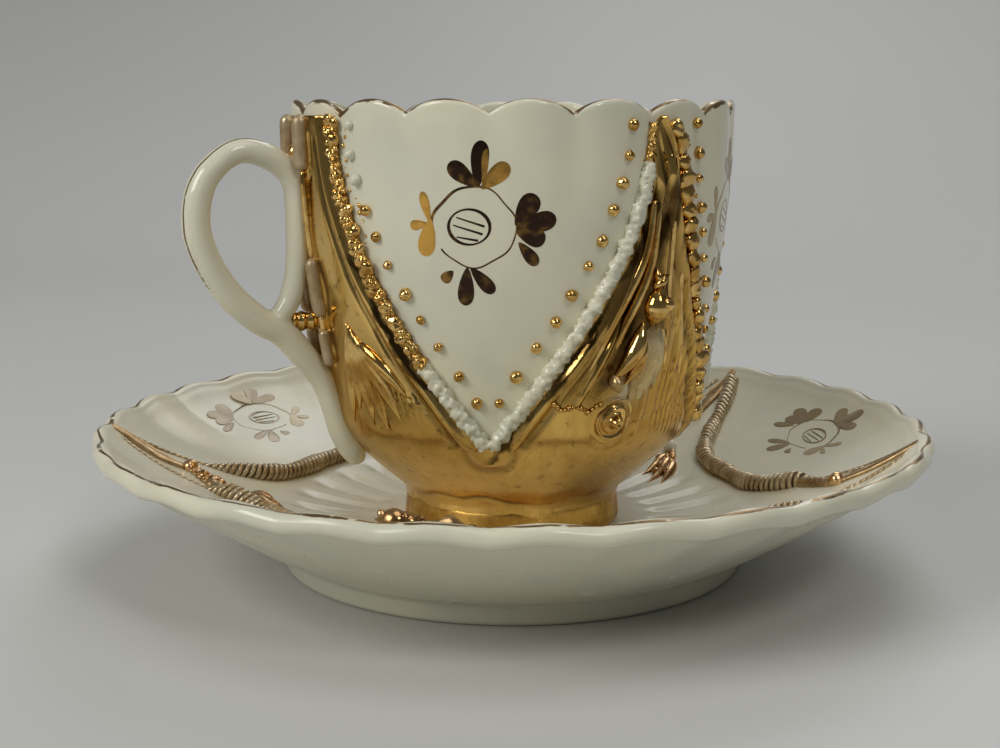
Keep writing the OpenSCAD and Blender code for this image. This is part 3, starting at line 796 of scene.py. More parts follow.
def saucer_cords():
    """A tightly wound rope round each panel, which sinks to a thin strand near most tips."""
    sizes = {"Strands": 2, "Sides": 8, "Step": 0.14 * MM, "Pitch": 2.3 * MM, "Spread": 0.66,
             "Strand share": 0.37, "Core share": 0.5, "Lump height": 0.55 * MM, "Lump scale": 620.0,
             "Finish": saucer_rope}
    for i in range(1, SAUCER_PANELS + 1):
        s, at, r = saucer_cord_route(i)
        first, second = ROPE_THINS[i - 1]
        end = np.where(s < 0, first * rise(-s, 0.54, 0.66), second * rise(s, 0.46, 0.74))
        uneven = 0.14 * np.sin(23 * s) * (1 - end)
        route = {"points": on_dish(at, r, 0.85 - 0.95 * end), "ups": out_of_dish(at, r),
                 "thick": ROPE_R - 1.2 * end + uneven, "turn": 1 - 0.75 * end, "lump": 1.0 - 0.8 * end,
                 "gilt": 0.82 + 0.18 * end}
        name = f"saucer_cord_{i}"
        path = path_mesh(name, [route])
        grown(f"twisted_{name}", twisted_cord, path, sizes, "saucer", "pale_gilding", [name])


def leaf(place, out, start, end, width, height, bow=0.0, steps=16, sides=10):
    """A leaf or petal of relief between two flat points on the clay, as a closed skin."""
    t = np.linspace(0.0, 1.0, steps)
    start, end = np.asarray(start, float), np.asarray(end, float)
    run = end - start
    across = np.array([-run[1], run[0]]) / np.linalg.norm(run)
    flat = start + run * t[:, None] + across * (bow * np.sin(np.pi * t))[:, None]
    full = np.sin(np.pi * np.clip(t, 0.02, 0.98) ** 0.8)
    return swept(place(flat, 0.0), out(flat), width / 2 * full, height * full, sides)


def dish_place(at):
    """Flat points, x outwards from the middle of the saucer and y across, put on the dish at an angle."""
    def place(flat, lift):
        return on_dish(at + np.degrees(flat[:, 1] / flat[:, 0]), flat[:, 0], lift)

    def out(flat):
        return out_of_dish(at + np.degrees(flat[:, 1] / flat[:, 0]), flat[:, 0])
    return place, out


TIP_PEARL_R = LIP_MID_R - 13.6
LUMP_LIFT = 0.7
# The sprig on one tip lies near the thin lip, and is raised to keep clear of the underside
RAISED_TIP = 4
RAISED_LEAF_LIFT = 2.2
RAISED_LUMP_LIFT = 2.6
# Leaves of a tip's sprig: start and end, outwards and across, and width
SPRIGS = {1: [(43.0, -3.5, 31.5, -6.5, 2.2), (42.0, -5.0, 32.5, -9.5, 2.0), (43.5, -2.5, 34.0, -3.0, 1.8)],
          2: [(46.5, -1.0, 38.8, 2.0, 2.0), (47.0, 0.4, 39.5, 4.8, 2.2), (47.5, 1.6, 41.5, 7.4, 2.0)],
          3: [(46.5, 3.0, 39.8, 6.5, 1.8), (47.0, 4.4, 40.5, 9.3, 2.0), (47.5, 5.6, 42.3, 11.2, 1.8),
              (46.0, 2.0, 40.5, 3.8, 1.5), (45.2, 4.2, 39.2, 8.2, 1.2)],
          4: [(64.5, -1.0, 62.8, -6.5, 2.6), (63.6, 0.0, 61.5, -4.0, 2.2), (65.0, 1.0, 64.0, 5.2, 2.2),
              (63.0, -1.0, 60.0, 1.5, 2.4), (64.8, -2.5, 64.6, -7.8, 1.8)]}
# Lumps of a tip's sprig: start and end, outwards and across, and how many
SPRIG_LUMPS = {1: (43.5, -3.0, 36.0, -6.5, 16), 2: (54.0, 1.0, 45.0, 5.0, 34),
               3: (55.0, 1.5, 45.5, 7.0, 44), 4: (64.6, -5.5, 62.6, 4.0, 20)}


def saucer_tips():
    """Between two panels: a smooth ribbon from the lip to a pearl, a strand from there to the rope, and a
    leafy sprig with gilt lumps."""
    chance = np.random.default_rng(5)
    bead_sizes = {"Segments": 16, "Rings": 10, "Flatness": 0.9, "Unevenness": 0.4,
                  "Lump height": 0.8 * MM, "Lump scale": 800.0, "Finish": rose_gold}
    for i in range(1, SAUCER_PANELS + 1):
        place, out = dish_place(tip_at(i))
        r = np.linspace(LIP_MID_R - 0.6, TIP_PEARL_R + 0.8, 40)
        flat = np.stack([r, 0.5 * np.sin(0.42 * (r - TIP_PEARL_R))], -1)
        half = 0.5 + 0.75 * ridge(r, LIP_MID_R - 8, 4.5)
        pieces = [swept(place(flat, 0.1), out(flat), half, 0.55, 14)]
        pieces += [swept(place(flat + np.stack([0 * r, side * half], -1), 0.15), out(flat), 0.28, 0.5, 8)
                   for side in (-1, 1)]
        carved(f"saucer_ribbon_{i}", joined(pieces), pale_ribbon, "saucer", "pale_gilding", f"saucer_tip_{i}")

        t = np.linspace(0, 1, 40)
        strand = np.stack([TIP_PEARL_R - 5.6 * t, 7.4 * t ** 1.3], -1)
        thick = 0.85 + 0.25 * np.abs(np.sin(6 * np.pi * t)) + 0.35 * t
        strand = swept(place(strand, 0.3), out(strand), thick, thick * 0.8, 12)
        carved(f"saucer_strand_{i}", strand, pale_ribbon, "saucer", "pale_gilding")
        if i in SPRIGS:
            stand = RAISED_LEAF_LIFT if i == RAISED_TIP else 0.0

            def raised(flat, lift, place=place, stand=stand):
                return place(flat, lift + stand)

            sprig = [leaf(raised, out, (a, b), (c, d), wide, 1.5, 0.7) for a, b, c, d, wide in SPRIGS[i]]
            carved(f"saucer_sprig_{i}", joined(sprig), rose_gold, "saucer", "gilding")
        spots, thick = [[TIP_PEARL_R, 0.0]], [1.25]
        if i in SPRIG_LUMPS:
            a, b, c, d, count = SPRIG_LUMPS[i]
            t = np.linspace(0, 1, count)
            lumps = np.stack([a + (c - a) * t, b + (d - b) * t], -1) + chance.uniform(-1.3, 1.3, (count, 2))
            spots = np.vstack([spots, lumps])
            thick = np.concatenate([thick, chance.uniform(0.45, 1.0, count)])
        spots = np.array(spots)
        lift = RAISED_LUMP_LIFT if i == RAISED_TIP else LUMP_LIFT
        row = {"points": place(spots, lift), "ups": out(spots), "thick": np.array(thick)}
        if i == 1:
            spot = np.array([[44.5, -2.2]])
            row_bare = {"points": place(spot, 0.9), "ups": out(spot), "thick": np.array([1.3])}
            grown("bare_saucer_pearl", beads, path_mesh("bare_saucer_pearl", [row_bare]),
                  {**bead_sizes, "Finish": foot_glaze}, "saucer", "porcelain")
        name = f"saucer_pearl_{i}"
        grown(f"gilt_{name}", beads, path_mesh(name, [row]), bead_sizes, "saucer", "gilding", [name])


# The cup's bowl and foot

def cup_bowl():
    """The bowl: belly, fluted wall, scalloped rounded rim and plain inside. The mark rim is the distance
    along the clay from the line that is painted on the crest of the rim."""
    cols = 432
    at = np.arange(cols) * 360 / cols
    drop = lobe_drop(at + 180 / SCALLOPS, RIM_R, SCALLOPS, SCALLOP_H)
    lip_round = 0.8
    half_crest = 1.1
    line_at = 0.35
    top = CUP_H - lip_round - drop
    rows = [polar(at, 8.0, SEAT_H + FOOT_H), polar(at, WAIST_R - 1.0, SEAT_H + FOOT_H)]
    marks = [np.full(cols, FAR_OFF)] * 2
    for u in np.linspace(0, 1, 110):
        h = FOOT_H + (CUP_H - lip_round - FOOT_H) * u
        h = h - drop * rise(u, 0.72, 1.0)
        rows.append(on_cup(at, h))
        marks.append(top - h + half_crest - line_at)
    outer = cup_r(top) + cup_flute(at, top)
    for a in np.radians(np.linspace(18, 162, 9)):
        r = outer - RIM_T / 2 + RIM_T / 2 * math.cos(a)
        rows.append(polar(at, r, SEAT_H + top + lip_round * math.sin(a)))
        marks.append(np.full(cols, half_crest * math.cos(a) - line_at))
    for u in np.linspace(0, 1, 70):
        h = top + (FLOOR_H + 0.4 - top) * u
        plain = cup_r(h - INNER_RISE) - WALL_T
        rows.append(polar(at, plain + (outer - RIM_T - plain) * rise(h, CUP_H - 12, CUP_H - 3), SEAT_H + h))
        marks.append(h - top - half_crest - line_at)
    for r in (15.5, 12.0, 6.0):
        rows.append(polar(at, r, SEAT_H + FLOOR_H + 0.4 * rise(r, 8, 17)))
        marks.append(np.full(cols, -FAR_OFF))
    marks = np.concatenate(marks + [np.full(2, FAR_OFF)])
    mesh = new_mesh("cup_bowl", *turned(rows), bowl_glaze, rim=marks)
    new_piece("porcelain_bowl", mesh, "cup", "porcelain", ["cup_bowl"])


def cup_foot():
    inner, outer = FOOT_R - FOOT_W, FOOT_R
    skin_ = foot_ring([
        (inner, SEAT_H + FOOT_H + 0.2), (inner, SEAT_H + 0.6), (inner + 0.5, SEAT_H),
        (outer - 0.75, SEAT_H), (outer - 0.3, SEAT_H + 0.25), (outer, SEAT_H + 0.9),
        (outer - 0.1, SEAT_H + 2.4), (outer - 0.3, SEAT_H + 4.0), (WAIST_R, SEAT_H + FOOT_H + 0.2)])
    mesh = new_mesh("cup_foot_ring", *skin_, foot_gold, turn_out=True)
    new_piece("gilt_cup_foot", mesh, "cup", "gilding", ["cup_foot_ring"])


# The gilt calyx

# Drapery folds of a sepal: share of its half width at the hem and at the tip, height and half thickness
FOLDS = [(-0.72, -0.52, 0.65, 0.42), (-0.58, -0.32, 0.60, 0.42), (0.05, 0.06, 0.50, 0.40),
         (0.44, 0.46, 0.50, 0.50), (0.62, 0.64, 0.40, 0.40)]
HOLLOW_X = -4.5
HEM_FROM_X = -14.0
HEM_TO_X = -6.0


def hem_h(x):
    """Height of the drapery's scalloped hem on the left of a sepal."""
    return 24.4 + 1.0 * np.abs(np.sin(np.pi * x / 4.2)) + 0.035 * (x + 9) ** 2


def sepal_relief(x, half, h):
    """Drapery on a sepal: its height, how deep in shade it lies, and how worn it is.
    x is the distance from the sepal's middle and half is its half width."""
    inside = rise(half - np.abs(x), 2.0, 4.0)
    hem = np.where(x < HEM_TO_X, hem_h(x), 22.0 + 0.25 * np.maximum(0, x))
    cloth = rise(h, hem - 0.25, hem + 0.35) * rise(x, HEM_FROM_X - 6, HEM_FROM_X)
    low = np.where(x < HEM_TO_X, cloth, rise(h, hem - 4, hem + 3))
    zone = low * inside * (1 - rise(h, 58, 64))
    folds = np.zeros_like(x)
    for k, (share_low, share_top, height, thick) in enumerate(FOLDS):
        lane = share_low + (share_top - share_low) * rise(h, 27, 58)
        middle = lane * half + 0.25 * np.sin(0.42 * h + 1.7 * k)
        folds = np.maximum(folds, height * ridge(x, middle, np.minimum(thick, 0.05 * half + 0.28)))
    hollow = ridge(x, HOLLOW_X + 0.13 * (h - 40), 1.6) * rise(h, 34, 40) * (1 - rise(h, 56, 61))
    ribs = np.cos(2 * np.pi * x / 1.25) * rise(x, 3, 5) * rise(h, 18, 22) * (1 - rise(h, 36, 42)) * inside
    boss_x = -np.radians(BOSS_ASIDE) * cup_r(BOSS_H)
    away = np.hypot(x - boss_x, (h - BOSS_H) * 0.85)
    swirl = np.cos(2 * np.pi * away / 1.5) * np.exp(-(away / 3.6) ** 4)
    apex = ridge(x, 0.5 * np.sin(0.5 * h), 1.3) * rise(h, 54, 60) * (0.75 + 0.35 * np.cos(4.2 * x + 0.55 * h))
    grooves = np.maximum(0, np.cos(2 * np.pi * x / 1.3 + 0.2 * h)) ** 0.7
    grooves = grooves * rise(h, 46, 53) * (1 - rise(h, 66, 69))
    swell = 0.55 * inside * rise(h, 24, 34) * (1 - rise(h, 60, 67)) + 0.3 * cloth * inside
    height = swell + folds * zone * (1 - hollow) - 1.1 * hollow + 0.16 * ribs + 0.3 * swirl + 0.9 * apex
    height = height - 0.3 * grooves
    gaps = zone * np.clip(1 - folds / 0.55, 0, 1)
    deep = 0.45 + 0.5 * rise(h, 36, 44) * rise(-x / half, -0.2, 0.0) * (1 - rise(-x / half, 0.55, 0.8))
    shade = deep * gaps * (1 - 0.6 * rise(x, 1.5, 3)) + 0.95 * hollow + 0.3 * np.maximum(0, -ribs)
    pocket = ridge(x, -1.2 - 0.42 * (BUD_H - h), 2.1) * rise(h, 27, 30) * (1 - rise(h, 39, 42))
    round_bud = np.exp(-(np.hypot(x, 0.75 * (h - BUD_H)) / 3.1) ** 4)
    shade = shade + 0.85 * pocket + 0.75 * round_bud + 0.35 * np.maximum(0, -swirl)
    shade = shade + 0.8 * ridge(x, 1.0 - 0.12 * (h - 56), 1.0) * ridge(h, 57.5, 3.2) + 0.75 * grooves
    worn = ridge(x, -2.0, 2.6) * ridge(h, 28.5, 2.4)
    return height, shade, worn


def handle_side_relief(x, h):
    """The gilding behind the handle: a band in rounded lengths, a fan of folds below, and a fringe.
    x is the distance from the handle's middle."""
    side = np.abs(x)
    width = 4.0 + 1.3 * (rise(h, 58.5, 61) + ridge(h, 41.5, 4.2) + 0.6 * ridge(h, 32, 2.2))
    band = np.sqrt(np.clip(1 - (side / width) ** 4, 0, 1))
    band = band * rise(RIM_H - h - x ** 2 / 14, 0, 1.0) * rise(h, 28, 30)
    fan = ridge(side, 14.0 + 0.1 * (28 - h), 4.8) * rise(h, 20, 23) * (1 - rise(h, 31, 37))
    fringe_zone = ridge(side, 20.5, 2.6) * ridge(h, 24.6, 2.2)
    fringe = np.abs(np.sin(np.pi * side / 1.1)) * fringe_zone
    height = 0.45 * band + 0.25 * fan + 0.6 * fringe
    foot_of_band = ridge(side, width + 0.5, 0.6) * rise(h, 30, 33)
    shade = 0.6 * fan + 0.5 * foot_of_band + 0.4 * fringe_zone * (1 - np.abs(np.sin(np.pi * side / 1.1)))
    return height, shade, np.zeros_like(x)


def hand_unevenness(at, h):
    """Slow waves left by hand work, so that the gold's reflections wander."""
    a = np.radians(at)
    slow = 0.10 * np.sin(7 * a + 0.21 * h) + 0.07 * np.sin(13 * a - 0.33 * h + 1.0)
    return slow + 0.02 * np.sin(24 * a + 0.6 * h)


def waist_crease(at, h):
    """A wavy, broken crease where the bowl was luted to its foot."""
    a = np.radians(at)
    middle = 7.4 + 0.7 * np.sin(5 * a + 1.0) + 0.4 * np.sin(11 * a) + 0.25 * np.sin(17 * a + 2.0)
    return ridge(h, middle, 0.38) * np.clip(0.55 + 0.6 * np.sin(3 * a + 2.2) + 0.3 * np.sin(8 * a), 0, 1)


def gilt_calyx():
    """One sheath of four strips, three sepals and the side behind the handle, which part above the panels'
    lower points. Its inner side lies in the bowl's wall and is coarser. Marks: shade, worn and edge."""
    rows_low, rows_high, coarse = 40, 148, 4
    strip_cols = (116, 112, 112, 120)
    share_low = np.linspace(0, 1, rows_low + 1)
    h_high = np.linspace(PANEL_LOW_H, CALYX_TOP_H, rows_high + 1)[1:]
    points, faces, grids = [], [], {"outer": [], "inner": []}
    marks = {"shade": [], "worn": [], "edge": []}
    count = 0

    def strip_grid(k, step):
        """Angles and heights of a strip's points, row by row. The lowest row waves round the waist."""
        cols = strip_cols[k] // step + 1
        across = np.linspace(0, 1, cols)[None, :]
        guide = np.concatenate([np.full(rows_low + 1, PANEL_LOW_H), h_high])[::step]
        left, right = (edge[:, None] for edge in strip_edges(k, guide))
        at = left + (right - left) * across
        a = np.radians(at)
        hem = FOOT_H - 1.3 + 0.2 * np.sin(4 * a) + 0.15 * np.sin(9 * a + 1.0)
        low = hem + (PANEL_LOW_H - hem) * np.concatenate([share_low, np.ones(rows_high)])[::step][:, None]
        high = np.concatenate([np.zeros(rows_low + 1), h_high])[::step][:, None]
        h = np.maximum(low, high)
        if k < len(SEPALS):
            h = h - 2.6 * (2 * across - 1) ** 2 * rise(h, 60, CALYX_TOP_H)
        return at, h, np.radians(right - left) / 2 * cup_r(h), np.radians(at - (left + right) / 2) * cup_r(h)

    def add(side, at, h, lift):
        nonlocal count
        points.append(on_cup(at, h, lift).reshape(-1, 3))
        grids[side].append(count + np.arange(at.size).reshape(at.shape))
        count += at.size

    for k in range(len(strip_cols)):
        at, h, half, x = strip_grid(k, 1)
        if k < len(SEPALS):
            height, shade, worn = sepal_relief(x, half, h)
        else:
            height, shade, worn = handle_side_relief(np.radians(at - HANDLE_AT) * cup_r(h), h)
        border = half - np.abs(x)
        edge = np.where(h > PANEL_LOW_H, 0.81 * border, np.hypot(border, PANEL_LOW_H - h))
        beside = ridge(edge, 3.9, 0.6)
        hemmed = (0.8 * ridge(edge, 2.3, 0.75) - 0.45 * beside) * (0.45 + 0.55 * rise(h, 16.5, 19.5))
        crease = waist_crease(at, h)
        free = rise(border, 0.5, 2.5)
        lift = 0.3 * rise(h, FOOT_H - 1.3, FOOT_H - 0.2) - 0.1 + height * free + hemmed
        lift = lift + (GILT_T - 0.2) * rise(h, FOOT_H, FOOT_H + 5)
        lift = lift + hand_unevenness(at, h) * rise(border, 0, 3) - 0.3 * crease
        add("outer", at, h, np.maximum(lift, 0.12 - 0.3 * (h < FOOT_H - 0.2)))
        marks["shade"].append(np.clip(shade * free + 0.8 * crease + 0.55 * beside, 0, 1).ravel())
        marks["worn"].append((worn * free).ravel())
        marks["edge"].append((edge + FAR_OFF * rise(h, 50, 56)).ravel())
    for k in range(len(strip_cols)):
        at, h, _, _ = strip_grid(k, coarse)
        add("inner", at, h, np.full(at.shape, -0.5))
        marks["shade"].append(np.zeros(at.size))
        marks["worn"].append(np.zeros(at.size))
        marks["edge"].append(np.full(at.size, FAR_OFF))
    # Neighbouring strips share their edge below the panels' lower points
    for side, rows in (("outer", rows_low + 1), ("inner", rows_low // coarse + 1)):
        for k in range(len(strip_cols)):
            grids[side][k][:rows, 0] = grids[side][k - 1][:rows, -1]

    def quads(grid):
        a, b, c, d = grid[:-1, :-1], grid[:-1, 1:], grid[1:, 1:], grid[1:, :-1]
        return np.stack([a, b, c, d], -1).reshape(-1, 4).tolist()

    def wall(fine, few):
        """Triangles between a fine chain of points and a coarse one."""
        for j in range(len(few) - 1):
            run = fine[coarse * j:coarse * (j + 1) + 1]
            mid = coarse // 2
            faces.extend([run[i], run[i + 1], few[j]] for i in range(mid))
            faces.append([run[mid], few[j + 1], few[j]])
            faces.extend([run[i], run[i + 1], few[j + 1]] for i in range(mid, coarse))

    for outer, inner in zip(grids["outer"], grids["inner"]):
        faces += quads(outer)
        faces += [f[::-1] for f in quads(inner)]
        wall(outer[-1].tolist(), inner[-1].tolist())
        wall(outer[0].tolist(), inner[0].tolist())
        for side in (0, -1):
            wall(outer[rows_low:, side].tolist(), inner[rows_low // coarse:, side].tolist())
    used = np.unique(np.concatenate([np.ravel(f) for f in faces]))
    renumber = np.full(count, -1)
    renumber[used] = np.arange(len(used))
    faces = [[int(renumber[i]) for i in f] for f in faces]
    marks = {name: np.concatenate(values)[used] for name, values in marks.items()}
    mesh = new_mesh("gilt_calyx", np.vstack(points)[used], faces, calyx_gold, turn_out=True, **marks)
    new_piece("gilt_sheath", mesh, "cup", "gilding", ["gilt_calyx"])


# Trimmings of the cup

def cup_place(at, h0):
    """Flat points, x round the bowl and y up it, put on the wall about an angle and a height."""
    def place(flat, lift):
        h = h0 + flat[:, 1]
        return on_cup(at + cup_degrees(flat[:, 0], h), h, lift)

    def out(flat):
        h = h0 + flat[:, 1]
        return out_of_cup(at + cup_degrees(flat[:, 0], h), h)
    return place, out


# Down to which height the left side of each panel's cord is gilt, and whether in fine grains or big lumps
GILT_CORDS = {"front_left": (32.0, "grains"), "front_right": (20.5, "lumps"),
              "back_right": (20.5, "lumps"), "back_left": (30.0, "grains")}
CORD_TOP_H = RIM_H - 1.6
CORD_LOW_H = PANEL_LOW_H + 0.6


def cord_grains(i, gilt_to, coarse, chance):
    """Gilt grains or lumps pressed along the left side of a panel's cord."""
    gap, size, stray = (2.9, 1.5, 0.2) if coarse else (0.62, 0.62, 0.9)
    h = np.arange(gilt_to, CORD_TOP_H + 0.6, gap * 0.85)
    across = chance.uniform(-stray, stray, len(h))
    lift = 0.95 if coarse else 0.7 + 0.55 * (1 - (across / stray) ** 2)
    at = panel_side(i, -1, h) + cup_degrees(across - (0.5 if coarse else 0), h)
    thick = size * (chance.uniform(0.85, 1.2, len(h)) if coarse else chance.uniform(0.5, 1.75, len(h)))
    return {"points": on_cup(at, h, lift), "ups": out_of_cup(at, h), "thick": thick}


def stray_grains(i, chance):
    """A few crumbs of clay beside the upper left of a cord."""
    h = np.linspace(50.0, 67.0, 16)
    at = panel_side(i, -1, h) + cup_degrees(chance.uniform(1.2, 3.2, len(h)), h)
    thick = chance.uniform(0.16, 0.34, len(h))
    return {"points": on_cup(at, h, 0.08), "ups": out_of_cup(at, h), "thick": thick}


def cup_cords():
    """The cord along each panel's edge: gilt and rough down its left side, white down its right side."""
    chance = np.random.default_rng(11)
    cord_sizes = {"Strands": 2, "Sides": 14, "Step": 0.25 * MM, "Pitch": 5.2 * MM, "Spread": 0.42,
                  "Strand share": 0.62, "Core share": 0.55, "Lump height": 2.1 * MM, "Lump scale": 1350.0,
                  "Finish": cord_clay}
    for i, panel in enumerate(PANELS):
        gilt_to, kind = GILT_CORDS[panel]
        routes = []
        for side in (-1, 1):
            h = np.linspace(CORD_TOP_H, CORD_LOW_H, 170)
            at = panel_side(i, side, h)
            gilt = rise(h, gilt_to - 1.5, gilt_to + 1.5) if side < 0 else rise(h, 61, 63)
            thick = 1.1 - 0.25 * gilt - 0.2 * rise(h, 55, 68)
            routes.append({"points": on_cup(at, h, 0.6 * thick), "ups": out_of_cup(at, h), "thick": thick,
                           "turn": 0.3 - 0.1 * gilt, "gilt": gilt})
        name = f"cup_cord_{panel}"
        grown(f"relief_{name}", twisted_cord, path_mesh(name, routes), cord_sizes, "cup", "gilding", [name])
        coarse = kind == "lumps"
        grains = [cord_grains(i, gilt_to, coarse, chance), stray_grains(i, chance)]
        sizes = {"Segments": 18, "Rings": 12, "Flatness": 0.72, "Unevenness": 0.5,
                 "Lump height": (2.4 if coarse else 1.7) * MM, "Lump scale": 430.0 if coarse else 560.0,
                 "Finish": bright_gold}
        grown(f"gilt_{kind}_{panel}", beads, path_mesh(f"{kind}_{panel}", grains), sizes, "cup", "gilding")


BEADS_A_SIDE = 11
BEAD_R = 0.86
BEAD_INSET = 4.6
BEAD_DRAW_IN = 0.25
BEAD_LEAST_ASIDE = 1.7
BEAD_LOW_H = PANEL_LOW_H + 7.6
BEAD_TOP_H = RIM_H - 1.9
BARE_BEADS_FROM_H = 56.0


def enamel_beads():
    """Rows of gilt beads inside each panel's edge. High on the front left panel the gold has come off."""
    chance = np.random.default_rng(3)
    sizes = {"Segments": 18, "Rings": 12, "Flatness": 0.95, "Unevenness": 0.4,
             "Lump height": 0.6 * MM, "Lump scale": 700.0, "Finish": bright_gold}
    for i, panel in enumerate(PANELS):
        gilt, bare = [], []
        for side in (-1, 1):
            h = np.linspace(BEAD_LOW_H, BEAD_TOP_H, BEADS_A_SIDE) + chance.uniform(-0.3, 0.3, BEADS_A_SIDE)
            share = np.clip((h - PANEL_LOW_H) / (RIM_H - PANEL_LOW_H), 0, 1)
            inset = BEAD_INSET * (1 - BEAD_DRAW_IN * share ** 3) + chance.uniform(-0.25, 0.25, BEADS_A_SIDE)
            least = cup_degrees(BEAD_LEAST_ASIDE, h)
            aside = np.maximum(panel_edge(i, h) - cup_degrees(inset, h), least)
            at = PANEL_AT[i] + side * aside
            worn = (h > BARE_BEADS_FROM_H) & (side < 0) & (i == 0)
            for rows, some in ((gilt, ~worn), (bare, worn)):
                if some.any():
                    rows.append({"points": on_cup(at[some], h[some], 0.35),
                                 "ups": out_of_cup(at[some], h[some]), "thick": np.full(some.sum(), BEAD_R)})
        name = f"enamel_beads_{panel}"
        grown(f"gilt_{name}", beads, path_mesh(name, gilt), sizes, "cup", "gilding", [name])
        if bare:
            grown(f"bare_{name}", beads, path_mesh(f"bare_{name}", bare), {**sizes, "Finish": foot_glaze},
                  "cup", "porcelain")


# Standing folds of a sepal: share of its half width at the hem and at the tip
STANDING_FOLDS = [(-0.65, -0.44), (-0.47, -0.20), (0.24, 0.26), (0.52, 0.55)]


def sepal_folds(k, sepal):
    """Four thin folds that stand up from the drapery."""
    folds = []
    for low, top in STANDING_FOLDS:
        h = np.linspace(27.6, 56.6, 50)
        left, right = strip_edges(k, h)
        lane = low + (top - low) * rise(h, 27, 58)
        at = (left + right) / 2 + lane * (right - left) / 2 + cup_degrees(0.3 * np.sin(0.36 * h + 5 * low), h)
        full = 0.25 + 0.75 * np.sin(np.pi * np.linspace(0.04, 0.96, 50)) ** 0.7
        folds.append(swept(on_cup(at, h, GILT_T + 0.1), out_of_cup(at, h), 0.8 * full, 1.0 * full, 12))
    carved(f"gilt_folds_{sepal}", joined(folds), bright_gold, "cup", "gilding", f"sepal_folds_{sepal}")


def sepal_flower(k, sepal):
    """The hanging flower: a crowned bud, a worn drop, and long petals with a pearl on its left."""
    place, out = cup_place(sepal_at(k, BUD_H), BUD_H)

    def raised(lift):
        return lambda flat, extra: place(flat, lift + extra)

    bud = [leaf(raised(1.3), out, (-0.6, -3.4), (0.2, 3.6), 4.2, 2.6, steps=24, sides=26),
           leaf(raised(2.4), out, (-1.0, 0.6), (2.6, -1.0), 2.6, 1.8, 0.3, 16, 16),
           leaf(raised(2.0), out, (-1.3, 2.6), (1.4, 4.6), 1.4, 1.2, 0.3),
           leaf(raised(1.8), out, (-0.4, 3.0), (-1.0, 5.6), 1.2, 1.1)]
    carved(f"gilt_bud_{sepal}", joined(bud), bright_gold, "cup", "gilding", f"sepal_bud_{sepal}")

    drop = [leaf(raised(1.0), out, (0.2, -2.2), (-0.9, -15.8), 6.2, 1.5, 0.4, 30, 22),
            leaf(raised(1.2), out, (0.5, -3.2), (1.6, -13.8), 2.8, 1.5, 0.3, 22, 14),
            leaf(raised(1.2), out, (-0.4, -5.2), (-2.8, -15.0), 2.8, 1.5, -0.4, 22, 14)]
    carved(f"worn_drop_{sepal}", joined(drop), worn_gold, "cup", "worn_gilding", f"sepal_drop_{sepal}")

    petals = [leaf(raised(1.5), out, (-2.2, -2.6), (-6.8, -11.8), 3.0, 2.1, 0.9, 26, 16),
              leaf(raised(1.6), out, (-1.9, -4.4), (-4.4, -12.6), 2.3, 1.9, 0.5, 26, 16),
              leaf(raised(1.0), out, (-2.0, -1.6), (-7.6, -10.6), 1.0, 1.1, 1.4, 22, 10),
              leaf(raised(0.9), out, (2.6, -3.0), (4.4, -12.6), 1.2, 1.2, -0.6, 22, 10),
              leaf(raised(0.9), out, (2.0, -2.0), (3.0, -11.0), 0.9, 1.1, -0.4, 22, 10)]
    carved(f"gilt_leaves_{sepal}", joined(petals), bright_gold, "cup", "gilding", f"sepal_leaves_{sepal}")
    pearl = leaf(raised(1.7), out, (-6.4, -10.6), (-4.9, -13.6), 2.2, 1.6, steps=14, sides=14)
    carved(f"worn_pearl_{sepal}", pearl, worn_gold, "cup", "worn_gilding")


def sepal_boss(k, sepal):
    """A teardrop in rings below the flower, and fine beads along the hem beside it."""
    place, _ = cup_place(sepal_at(k, BOSS_H) - BOSS_ASIDE, BOSS_H)
    a = np.linspace(0, 2 * np.pi, 56, endpoint=False)
    reach = 2.7 + 1.3 * np.maximum(0, np.cos(a - 0.95)) ** 4
    outline = np.stack([reach * np.cos(a), reach * np.sin(a)], -1)

    def rings(share):
        waves = 0.3 * np.cos(2 * np.pi * share * 2.4)
        return GILT_T + 0.3 + 0.4 * share + waves + 1.3 * rise(share, 0.45, 0.8)

    boss = patch(outline, place, rings, 16)
    carved(f"gilt_boss_{sepal}", boss, bright_gold, "cup", "gilding", f"sepal_boss_{sepal}")
    x = np.arange(HEM_FROM_X, HEM_TO_X, 0.62)
    h = hem_h(x)
    at = sepal_at(k, h) + cup_degrees(x, h)
    row = {"points": on_cup(at, h, GILT_T + 0.45), "ups": out_of_cup(at, h), "thick": np.full(len(x), 0.42)}
    sizes = {"Segments": 10, "Rings": 7, "Flatness": 1.0, "Unevenness": 0.5, "Lump height": 0.0,
             "Lump scale": 500.0, "Finish": bright_gold}
    grown(f"hem_beads_{sepal}", beads, path_mesh(f"hem_{sepal}", [row]), sizes, "cup", "gilding")


def sepal_trimmings():
    for k, sepal in enumerate(SEPALS):
        sepal_folds(k, sepal)
        sepal_flower(k, sepal)
        sepal_boss(k, sepal)


# The handle

HANDLE_TOP_H = 63.5
HANDLE_LOW_H = 36.3
HANDLE_REACH = 18.3
HANDLE_W = 5.4
HANDLE_T = 4.4
LEG_CLEAR = 1.9
# The loop: share of its reach, share of its height and share of the half thickness
STRAP = [(0.00, 0.72, 0.80), (0.07, 0.87, 0.92), (0.30, 0.975, 0.94), (0.60, 1.00, 0.92), (0.90, 0.85, 1.00),
         (1.00, 0.62, 1.07), (0.92, 0.40, 1.06), (0.70, 0.18, 1.05), (0.42, 0.02, 1.05)]
# The strap's lower end: how far below the loop, how far off the gilding and share of the half thickness
TAIL = [(1.7, 6.4, 1.05), (6.0, 3.5, 1.00), (10.2, 1.1, 0.98), (14.7, 0.1, 1.02),
        (18.2, 0.3, 1.10), (21.7, 1.6, 1.05), (24.4, 3.4, 0.60)]
